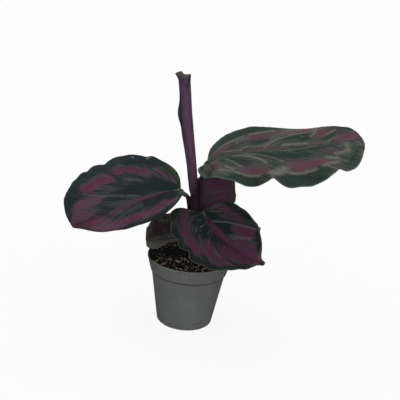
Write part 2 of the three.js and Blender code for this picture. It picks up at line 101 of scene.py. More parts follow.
def evenPath(points, count):
    # the curve through points, as count points evenly far apart
    stepsEach = 40
    fine = curvePoint(points, np.linspace(0, len(points) - 1, stepsEach * len(points)))
    passed = np.concatenate([[0], np.cumsum(np.linalg.norm(np.diff(fine, axis=0), axis=1))])
    places = np.linspace(0, passed[-1], count)
    return np.stack([np.interp(places, passed, fine[:, k]) for k in range(3)], 1), places


def ringAngles(count):
    return 2 * np.pi * np.arange(count) / count


def tubeRings(path, radii, sides, squash=1.0):
    # rings round a path, carried along without twisting from a side that no path starts along
    forward = unit(np.gradient(path, axis=0))
    side = unit(np.cross(forward[0], [0.31, 0.95, 0.05]))
    angles = ringAngles(sides)
    rings = []
    for point, ahead, radius in zip(path, forward, np.broadcast_to(radii, len(path))):
        side = unit(side - ahead * (side @ ahead))
        across = np.cross(ahead, side)
        rings.append(point + radius * (np.outer(np.cos(angles), side)
                                       + squash * np.outer(np.sin(angles), across)))
    return np.array(rings)


# Meshes

class Surface:
    # gathers sheets of points, with what their materials read, into one object

    def __init__(self, marks=()):
        self.points, self.faces, self.slots, self.uvs = [], [], [], []
        self.marks = {name: [] for name in marks}
        self.count = 0

    def addPoints(self, points, marks):
        points = np.asarray(points, float).reshape(-1, 3)
        self.points.append(points)
        for name, values in self.marks.items():
            values.append(np.broadcast_to(np.ravel(marks.get(name, 0.0)), len(points)))
        self.count += len(points)
        return self.count - len(points)

    def addFaces(self, corners, slot, cornerUvs, flip=False):
        corners, cornerUvs = np.asarray(corners), np.asarray(cornerUvs, float)
        if flip:
            corners, cornerUvs = corners[:, ::-1], cornerUvs[:, ::-1]
        self.faces.extend(corners.tolist())
        self.uvs.append(cornerUvs.reshape(-1, 2))
        self.slots.append(np.full(len(corners), slot))

    def addSheet(self, points, slot, island, marks, around=False, flip=False):
        # rows by columns of points; around joins the last column to the first
        rows, columns = points.shape[:2]
        marks = {name: np.broadcast_to(values, (rows, columns)) for name, values in marks.items()}
        index = self.addPoints(points, marks) + np.arange(rows * columns).reshape(rows, columns)
        if around:
            index = np.concatenate([index, index[:, :1]], 1)
        self.join(index, slot, island, flip)
        return index

    def join(self, index, slot, island, flip=False):
        # faces between neighbours in a table of point numbers, laid out in a box of the UV map
        rows, columns = index.shape
        u = mix(island[0], island[2], np.arange(rows) / (rows - 1))
        v = mix(island[1], island[3], np.arange(columns) / (columns - 1))
        uv = np.stack(np.meshgrid(u, v, indexing="ij"), -1)
        early, late = slice(None, -1), slice(1, None)
        pick = [(early, early), (late, early), (late, late), (early, late)]
        corners = np.stack([index[a].ravel() for a in pick], 1)
        cornerUvs = np.stack([uv[a].reshape(-1, 2) for a in pick], 1)
        self.addFaces(corners, slot, cornerUvs, flip)

    def addFan(self, centre, ring, slot, island, marks, flip=False):
        # closes a ring with triangles, and gives back the number of the point in its middle
        middle = self.addPoints([centre], marks)
        count = len(ring) - 1
        u = mix(island[0], island[2], np.arange(count + 1) / count)
        around = np.stack([u, np.full(count + 1, island[1])], 1)
        top = np.stack([u[:-1], np.full(count, island[3])], 1)
        corners = np.stack([np.full(count, middle), ring[:-1], ring[1:]], 1)
        self.addFaces(corners, slot, np.stack([top, around[:-1], around[1:]], 1), flip)
        return middle

    def newObject(self, name, materials):
        mesh = bpy.data.meshes.new(name)
        mesh.from_pydata(np.concatenate(self.points) * millimetre, [], self.faces)
        mesh.polygons.foreach_set("material_index", np.concatenate(self.slots).astype(np.int32))
        mesh.polygons.foreach_set("use_smooth", np.ones(len(self.faces), bool))
        layer = mesh.uv_layers.new(name=uvName)
        layer.uv.foreach_set("vector", np.concatenate(self.uvs).astype(np.float32).ravel())
        for label, values in self.marks.items():
            mark = mesh.attributes.new(label, "FLOAT", "POINT")
            mark.data.foreach_set("value", np.concatenate(values).astype(np.float32))
        for material in materials:
            mesh.materials.append(material)
        mesh.update()
        piece = bpy.data.objects.new(name, mesh)
        view.collection.objects.link(piece)
        return piece


def handIn(piece, node):
    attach(piece, "root")
    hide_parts(node)
    print(piece.name, "made:", len(piece.data.polygons), "faces")


# Shader nodes

def colour(text):
    # a paint chip such as "7a5a66", as the shader wants it
    parts = [int(text[k:k + 2], 16) / 255 for k in (0, 2, 4)]
    return [p / 12.92 if p <= 0.04045 else ((p + 0.055) / 1.055) ** 2.4 for p in parts] + [1.0]


def put(value, socket):
    # value is a signal, a paint chip or a number
    if isinstance(value, Signal):
        socket.id_data.links.new(value.socket, socket)
    else:
        socket.default_value = colour(value) if isinstance(value, str) else value


def addNode(tree, kind, values, output=0, **settings):
    node = tree.nodes.new(kind)
    for name, value in settings.items():
        setattr(node, name, value)
    for name, value in values.items():
        put(value, node.inputs[name])
    return Signal(node.outputs[output])


class Signal:
    # what comes out of a shader node; it adds and multiplies like a number

    def __init__(self, socket):
        self.socket, self.tree = socket, socket.id_data

    def math(self, operation, a, b=0.0):
        return addNode(self.tree, "ShaderNodeMath", {0: a, 1: b}, operation=operation)

    def __add__(self, other):
        return self.math("ADD", self, other)

    def __radd__(self, number):
        return self.math("ADD", number, self)

    def __sub__(self, number):
        return self.math("ADD", self, -number)

    def __rsub__(self, number):
        return self.math("SUBTRACT", number, self)

    def __mul__(self, other):
        return self.math("MULTIPLY", self, other)

    def __truediv__(self, other):
        return self.math("DIVIDE", self, other)

    def __abs__(self):
        return self.math("ABSOLUTE", self)

    def sine(self):
        return self.math("SINE", self)

    def larger(self, other):
        return self.math("MAXIMUM", self, other)

    def rise(self, low, high):
        # 0 at low and 1 at high, smoothly in between
        limits = {"Value": self, "From Min": low, "From Max": high}
        return addNode(self.tree, "ShaderNodeMapRange", limits, interpolation_type="SMOOTHSTEP")

    def between(self, low, high):
        return addNode(self.tree, "ShaderNodeMix", {0: self, 2: low, 3: high}, data_type="FLOAT")

    def blend(self, under, over):
        # from one colour to another
        return addNode(self.tree, "ShaderNodeMix", {0: self, 6: under, 7: over}, 2, data_type="RGBA")


def position(x, y, z):
    return addNode(x.tree, "ShaderNodeCombineXYZ", {0: x, 1: y, 2: z})


def noise(place, scale, detail, roughness):
    return addNode(place.tree, "ShaderNodeTexNoise",
                   {"Vector": place, "Scale": scale, "Detail": detail, "Roughness": roughness})


def newGroup(name, inputs, outputs, wire):
    # wire() takes a signal for each input, and gives one back for each output
    group = bpy.data.node_groups.new(name, "ShaderNodeTree")
    for label, value in inputs.items():
        socket = group.interface.new_socket(name=label, in_out="INPUT", socket_type="NodeSocketFloat")
        socket.default_value = value
    for label in outputs:
        group.interface.new_socket(name=label, in_out="OUTPUT", socket_type="NodeSocketFloat")
    given = group.nodes.new("NodeGroupInput").outputs
    made = group.nodes.new("NodeGroupOutput").inputs
    for label, signal in zip(outputs, wire(*(Signal(given[label]) for label in inputs))):
        put(signal, made[label])
    return group


class Skin:
    # a Principled material; paints holds its paint chips and numbers, and coats of them are laid in turn

    def __init__(self, name, paints, specular=0.5):
        self.material = bpy.data.materials.new(name)
        self.material.use_nodes = True
        self.tree, self.paints = self.material.node_tree, paints
        self.shader = self.tree.nodes["Principled BSDF"].inputs
        self.shader["Specular IOR Level"].default_value = specular

    def mark(self, name):
        return addNode(self.tree, "ShaderNodeAttribute", {}, 2, attribute_name=name)

    def place(self):
        return addNode(self.tree, "ShaderNodeTexCoord", {}, "Object")

    def use(self, group, *values):
        node = self.tree.nodes.new("ShaderNodeGroup")
        node.node_tree = group
        for value, socket in zip(values, node.inputs):
            put(value, socket)
        return {socket.name: Signal(socket) for socket in node.outputs}

    def ground(self, share, under, over):
        self.coat = share.blend(self.paints[under], self.paints[over])

    def lay(self, share, over):
        # over is the name of a paint, or a mix of paints
        self.coat = share.blend(self.coat, over if isinstance(over, Signal) else self.paints[over])

    def finish(self, roughness, height, strength, depth):
        # depth is that of the bumps, in millimetres
        put(self.coat, self.shader["Base Color"])
        put(roughness, self.shader["Roughness"])
        normal = addNode(self.tree, "ShaderNodeBump", {"Height": height, "Strength": strength,
                                                       "Distance": depth * millimetre})
        put(normal, self.shader["Normal"])
        return self.material


def wireStreaks(vein, across, shift):
    # grain along the side veins of a blade, spread evenly from 0 to 1, from broad to fine
    spread = []
    grains = (0.8, 0.11, 0.0, 3.0), (1.7, 0.17, 17.0, 3.0), (3.2, 0.24, 23.0, 2.0)
    for scale, length, apart, detail in grains:
        grain = noise(position(vein, across * length, shift + apart), scale, detail, 0.6)
        spread.append(grain.rise(0.33, 0.67))
    patch = noise(position(vein * 0.5, across * 0.4, shift + 31.0), 0.4, 3.0, 0.6)
    wave = vein * 8.5 + patch * 9.0
    veinlet = wave.sine() * 0.5 + 0.5
    return *spread, veinlet, patch, veinlet * 0.35 + spread[1] * 0.65


def wireBrush(amount, grain, ragged, soft):
    # turns a soft amount of paint into a patch whose edge is frayed along the grain
    reach = amount + (grain - 0.5) * ragged - 0.5
    painted = amount.rise(0.0, 0.2)
    return ((reach / (soft * 2.0) + 0.5).rise(0.0, 1.0) * painted,)


def wireFibres(length, around, shift):
    # lengthwise fibres of stalks, sheath and rolled leaf
    fibre = noise(position(around, length * 0.05, shift), 2.4, 3.0, 0.65)
    patch = noise(position(around * 0.4, length * 0.12, shift + 9.0), 0.8, 3.0, 0.6)
    return fibre, patch, fibre * 0.8 + patch * 0.2


# Vein, Across, Length and Round are in millimetres
veinStreaks = newGroup("veinStreaks", {"Vein": 0.0, "Across": 0.0, "Shift": 0.0},
                       ["Streak", "Feather", "Hair", "Veinlet", "Patch", "Height"], wireStreaks)
brushEdge = newGroup("brushEdge", {"Amount": 0.0, "Grain": 0.5, "Ragged": 0.6, "Soft": 0.2},
                     ["Mask"], wireBrush)
fibreGrain = newGroup("fibreGrain", {"Length": 0.0, "Round": 0.0, "Shift": 0.0},
                      ["Fibre", "Patch", "Height"], wireFibres)


# Camera, light and floor

studio = {
    # places in millimetres, and the width of the floor in metres
    "target": (3.5, 0, 92.2), "position": (3.5, -400.229, 219.545), "roll": 5.56, "lens": 54.09,
    "sky": 0.4, "backdrop": 0.98, "floorSize": 60, "floorColour": "8a8a8a", "floorGlow": 0.878,
}
lamps = {
    # place and aim in millimetres, width in metres, power in watts
    "overheadLamp": {"place": (-60, -160, 620), "aim": (0, 0, 100), "width": 0.6, "power": 0.1},
    "frontLamp": {"place": (80, -640, 150), "aim": (0, 0, 80), "width": 0.8, "power": 2.0},
    "backLamp": {"place": (-120, 640, 130), "aim": (0, 0, 80), "width": 0.8, "power": 1.8},
}


def addCamera():
    place, target = (np.array(studio[key], float) for key in ("position", "target"))
    ahead = unit(target - place)
    level = unit(np.cross(ahead, [0, 0, 1]))
    upright = np.cross(level, ahead)
    roll = math.radians(studio["roll"])
    right = level * math.cos(roll) + upright * math.sin(roll)
    up = upright * math.cos(roll) - level * math.sin(roll)
    camera = bpy.data.objects.new("camera", bpy.data.cameras.new("camera"))
    camera.data.lens = studio["lens"]
    camera.data.clip_start, camera.data.clip_end = 0.01, 100
    axes = Matrix(np.stack([right, up, -ahead], 1).tolist())
    camera.matrix_world = Matrix.Translation(Vector(place * millimetre)) @ axes.to_4x4()
    view.collection.objects.link(camera)
    view.camera = camera


def addLamps(floor):
    # the lamps leave the floor out, so that the sky alone lights it and it stays evenly pale
    unlit = bpy.data.collections.new("unlitByLamps")
    unlit.objects.link(floor)
    unlit.collection_objects[0].light_linking.link_state = "EXCLUDE"
    for name, lamp in lamps.items():
        data = bpy.data.lights.new(name, "AREA")
        data.size, data.energy = lamp["width"], lamp["power"]
        place, aim = (Vector(lamp[key]) * millimetre for key in ("place", "aim"))
        item = bpy.data.objects.new(name, data)
        item.location = place
        item.rotation_euler = (aim - place).to_track_quat("-Z", "Y").to_euler()
        item.visible_camera = False  # the lamps light the plant, but never show as white squares
        item.light_linking.receiver_collection = unlit
        view.collection.objects.link(item)


def isSeen(tree):
    # 1 where the camera itself looks, and 0 for light on its way
    return addNode(tree, "ShaderNodeLightPath", {}, "Is Camera Ray")


def addSky():
    world = bpy.data.worlds.new("studioSky")
    world.use_nodes = True
    view.world = world
    background = world.node_tree.nodes["Background"].inputs
    put(isSeen(world.node_tree).between(studio["sky"], studio["backdrop"]), background["Strength"])
    put((1, 1, 1, 1), background["Color"])


def addFloor():
    surface = Surface()
    half = studio["floorSize"] / 2 / millimetre
    corners = np.array([[[-half, -half, 0], [-half, half, 0]], [[half, -half, 0], [half, half, 0]]])
    surface.addSheet(corners, 0, (0, 0, 1, 1), {})
    skin = Skin("paleFloor", {}, specular=0.0)
    glow = isSeen(skin.tree) * studio["floorGlow"]
    for value, name in ((studio["floorColour"], "Base Color"), (0.9, "Roughness"),
                        ((1, 1, 1, 1), "Emission Color"), (glow, "Emission Strength")):
        put(value, skin.shader[name])
    floor = surface.newObject("floor", [skin.material])
    return floor


view.view_settings.view_transform = "Standard"
addCamera()
addLamps(addFloor())
addSky()
print("studio set up")


# Leaves. The two halves lie left and right of the midrib, seen from the stalk with the face up.
# t runs from the base to the tip, and s from the midrib along a side vein to the margin.

bladeMake = {
    # the form of the blade, as in the CAD
    "midribSteps": 60, "sectionSteps": 58, "sectionEnd": 1.2, "rootPower": 1.25, "bendPower": 1.4,
    "lobeEnd": 0.36, "pointReach": 0.05, "nickPower": 5, "nickEnds": 0.03, "foldFrom": 0.65,
    # its two faces, and the rim that joins them
    "thickness": 0.5, "marginThin": 0.5, "rim": 0.1, "poleOffset": 0.12, "normalStep": 0.004,
    "ribBase": 0.95, "ribTip": 0.35, "ribWidth": 0.75, "groove": 0.12, "grooveWidth": 0.55,
    # pleats across the side veins, the broader ripple, and the sizes of their noise along and across
    "pleat": 0.1, "pleatWidth": 4.4, "pleatWander": 2.2, "ripple": 0.24,
    "wanderSize": (13, 30), "pleatSize": (7, 9), "rippleSize": (9, 12), "pleatLeast": 0.6, "pleatMore": 0.4,
    # where pleats and ripple fade in along s, and the rest along t, from the base or the tip
    "pleatFade": (0.03, 0.3), "rippleFade": (0.05, 0.4), "ribFade": (0.02, 0.3), "ridgeFade": (0, 0.12),
    "endFade": (0, 0.08),
    # how its paint lies: the pale line under the midrib, and where the rim line ends before the tip
    "ribLine": 1.1, "rimLineEnd": (0.92, 0.97),
}
stalkMake = {
    "jointFrom": 0.78, "jointOver": 0.12, "jointSwell": 0.16, "taper": 0.45, "taperFrom": 0.95,
    # it ends under the midrib, this share of its steps from the base and this deep
    "endsAlong": 0.07, "sunk": 0.3, "sides": 20, "steps": 110,
}
brushMake = {"band": 3.4, "bandShare": 1.5}

# The inks are those of the strokes; band is the dark ink near the margin, and rim the thin line along it
inks = ["blush", "rose", "mauve", "cream", "dark", "olive", "glint", "bare"]
paintNames = ["ground", "light", "dark", "blush", "rose", "mauve", "cream", "olive", "band", "rim", "glint"]

# lean says how far each side vein, by where it leaves the midrib, runs towards the tip, and bend how
# evenly. Each nick of the margin has its place in t, how far it stands out in millimetres, with a notch
# below 0, and its width in t. steps are those of the mesh, and shift sets the grain of each leaf apart.
# Each leaf has its own paints, and they hold how it is lit: the front leaf's are darker, painted shade, and
# the right leaf's paler and greyer, painted light and sheen
leaves = {
    "leaf_left": {
        "base": (-10.3, 0, 97.5), "heading": 218, "climb": 8, "roll": -22, "length": 80.5, "tip": 0.6,
        "arch": 56, "archSkew": -0.7, "sweep": -4, "twist": -40,
        "left": {
            "width": 20, "widest": 0.4, "fullness": 1.3, "lobe": -1.2, "cup": 26, "curl": -22, "fold": -72,
            "wave": 1.2, "waves": 2.56, "phase": 0.09,
            "lean": [(-.3, .5), (0, .45), (.3, .4), (.6, .22), (1, -.1)], "bend": 0.6,
            "nicks": [(.17, -2.2, .1), (.33, 1.5, .07), (.44, .6, .05), (.56, 1.3, .05), (.82, -1.7, .1)],
        },
        "right": {
            "width": 31.7, "widest": 0.52, "fullness": 0.68, "lobe": 4.5, "cup": 30, "curl": -21,
            "wave": 1.4, "waves": 2.62, "phase": 0.28,
            "lean": [(-.3, .7), (0, .62), (.17, .58), (.4, .38), (.7, .15), (1, 0)], "bend": 0.3,
            "nicks": [(.16, 1.4, .08), (.29, 1.2, .025), (.33, -.8, .015), (.4, .8, .04), (.47, .9, .03),
                      (.535, -1.3, .018), (.59, .8, .025), (.625, -.5, .012), (.66, .9, .025),
                      (.72, .5, .02), (.86, .9, .05), (.95, 1.3, .03)],
        },
        "stalk": [(-.6, 2.6, 41.4), (-.9, 2.7, 60), (-1.6, 2.8, 73), (-3.1, 2.6, 83), (-4.2, 2.4, 88.5),
                  (-4.9, 2.1, 91.8), (-5.8, 1.7, 93.6), (-7.3, 1.2, 94.7), (-9, .6, 95.8)],
        "stalkRadius": 1.45, "steps": (240, 60), "shift": 3, "gloss": 0.38, "stalkPaint": "stalkBrown",
        "slot": "left_leaf",
        "paints": "34383a 585c5c 1b2f30 7f4964 773255 84586e 6e7573 465427 304244 3d4744 a8bcc0",
    },
    "leaf_right": {
        "base": (5.8, -2, 119.7), "heading": -33, "climb": 29, "roll": 39, "length": 104, "tip": 1.4,
        "arch": 30, "archSkew": -0.67, "sweep": 20.6, "sweepSkew": 0.72, "twist": -10,
        "left": {
            "width": 26, "widest": 0.41, "fullness": 0.72, "lobe": 5.3, "cup": 9, "curl": -23,
            "wave": -2.1, "waves": 1.93, "phase": 0.13,
            "lean": [(-.3, .5), (0, .48), (.3, .42), (.6, .25), (.8, .08), (1, 0)], "bend": 0.9,
            "nicks": [(.36, 1.2, .03), (.8, -.6, .03), (.85, .6, .02), (.89, 1.4, .03), (.945, 1.8, .025),
                      (.97, -.8, .01)],
        },
        "right": {
            "width": 32.7, "widest": 0.6, "fullness": 0.77, "lobe": 9.4, "cup": 3, "curl": -21,
            "wave": 4.2, "waves": 4.6, "phase": -0.07,
            "lean": [(-.3, .5), (0, .48), (.3, .45), (.6, .25), (.85, .04), (1, 0)], "bend": 0.7,
            "nicks": [(.19, -2.2, .06), (.34, -.7, .02), (.37, .8, .03), (.44, .8, .03), (.5, -2.2, .014),
                      (.55, 3.2, .03), (.63, .8, .03), (.68, 1.6, .03), (.735, -1.2, .012), (.77, 1, .02),
                      (.88, .6, .03), (.93, .8, .015)],
        },
        "stalk": [(8.3, 0, 41.4), (7.8, 0, 54), (6.3, 0, 70), (4.7, -.2, 85), (4.1, -.5, 92.5),
                  (3.6, -1, 100), (2.9, -1.5, 108), (3.9, -1.9, 114)],
        "stalkRadius": 1.25, "steps": (260, 56), "shift": 41, "gloss": 0.42, "stalkPaint": "stalkWine",
        "slot": "right_leaf",
        # paler and greyer than the other leaves: painted light and sheen
        "paints": "4c5550 6a7269 294139 835a6a 864961 68515e a0988d 4a5236 2f453c 7c8279 9fb0b0",
    },
    "leaf_front": {
        "base": (6.4, -8, 86), "heading": -68, "climb": -21, "roll": 35, "length": 60.3, "tip": 4.2,
        "arch": 11, "sweep": 37, "sweepSkew": 0.05, "twist": 2,
        "left": {
            "width": 24, "widest": 0.45, "fullness": 0.77, "lobe": 2.3, "cup": 14, "curl": -19,
            "wave": 0.8, "waves": 2.5, "phase": 0.02,
            "lean": [(-.3, .5), (0, .5), (.25, .45), (.57, .27), (1, 0)], "bend": 3,
            "nicks": [(.3, .5, .04), (.45, .15, .05), (.645, .8, .035), (.695, 1.7, .015), (.78, -.9, .07),
                      (.88, -1, .06), (.955, -3, .035)],
        },
        "right": {
            "width": 28.1, "widest": 0.45, "fullness": 0.72, "lobe": 9.6, "cup": 37, "curl": -19,
            "wave": 1.5, "waves": 2.7, "phase": 0.09,
            "lean": [(-.3, .45), (0, .5), (.25, .52), (.47, .46), (.75, .2), (1, 0)], "bend": 3,
            "nicks": [(.1, .5, .03), (.2, .8, .03), (.27, -1.3, .018), (.33, 1.2, .03), (.38, -1.7, .013),
                      (.43, 1.5, .03), (.485, -2, .014), (.54, 2, .03), (.6, -.6, .012), (.64, .5, .02),
                      (.74, -.8, .02), (.83, -1, .03), (.955, -3.4, .035)],
        },
        "stalk": [(6.6, -6.2, 41.4), (6.6, -6.4, 60), (6.5, -6.6, 74), (6.3, -7.1, 82)],
        "stalkRadius": 1.2, "steps": (210, 56), "shift": 77, "gloss": 0.32, "stalkPaint": "stalkWine",
        "slot": "front_leaf",
        # darker than the other leaves: painted shade
        "paints": "28272c 4a4b4b 122422 5b354a 642c4b 5b474f 6d6b6f 283222 142423 5f5d58 8a9496",
    },
    "leaf_back": {
        "base": (6.7, 6, 81.6), "heading": 64, "climb": 77, "roll": 25, "length": 34, "tip": 1.2,
        "arch": 20, "sweep": -20, "twist": 2,
        "left": {
            "width": 11, "widest": 0.45, "fullness": 0.9, "lobe": 3, "cup": 20, "curl": -20, "wave": 0.6,
            "waves": 2.5, "phase": 0,
            "lean": [(-.3, .3), (0, .3), (1, 0)], "bend": 0.8,
            "nicks": [(.5, .5, .04)],
        },
        "right": {
            "width": 20.5, "widest": 0.42, "fullness": 0.66, "lobe": 4, "cup": 4, "curl": -23, "wave": 1.2,
            "waves": 2.6, "phase": 0.12,
            "lean": [(-.3, .4), (0, .4), (.5, .2), (1, 0)], "bend": 0.8,
            "nicks": [(.3, -.6, .03), (.42, -.9, .06), (.58, .5, .04), (.8, .6, .05)],
        },
        "stalk": [(6.4, 6, 41.4), (6.4, 6.1, 60), (6.5, 6.1, 74)],
        "stalkRadius": 1.1, "steps": (130, 40), "shift": 113, "gloss": 0.4, "stalkPaint": "stalkWine",
        "slot": "back_leaf",
        "paints": "583c4a 574c50 2a2526 563b4e 6a3352 5a474f 646060 4a4c44 343534 4c4a42 8a8f92",
    },
    "leaf_small": {
        "base": (-8.2, 5, 59.7), "heading": 182, "climb": -4, "roll": -42, "length": 24.5, "tip": 0.7,
        "arch": 19, "sweep": 3, "twist": 0,
        "left": {
            "width": 11.6, "widest": 0.6, "fullness": 0.95, "lobe": 0, "cup": 37, "curl": -6, "wave": 0.8,
            "waves": 2.6, "phase": 0.17,
            "lean": [(-.3, .3), (0, .3), (1, 0)], "bend": 0.8,
            "nicks": [(.28, -2.6, .17), (.62, -.4, .03), (.75, .6, .04)],
        },
        "right": {
            "width": 18.5, "widest": 0.42, "fullness": 0.7, "lobe": 3, "cup": 28, "curl": -10, "wave": 0.5,
            "waves": 2.5, "phase": 0.02,
            "lean": [(-.3, .4), (0, .4), (.5, .2), (1, 0)], "bend": 0.8,
            "nicks": [(.35, .6, .04), (.5, -.6, .025), (.62, .5, .04), (.78, -.7, .025), (.86, .6, .03)],
        },
        "stalk": [(-1.6, 6.8, 41.4), (-1.9, 6.8, 50), (-3.6, 6.2, 56)],
        "stalkRadius": 0.9, "steps": (110, 40), "shift": 151, "gloss": 0.45, "stalkPaint": "stalkBrown",
        "slot": "small_leaf",
        "paints": "4c4946 56544f 242223 362930 392031 4e4544 797b70 66664e 262424 6e6754 8a8f92",
    },
}

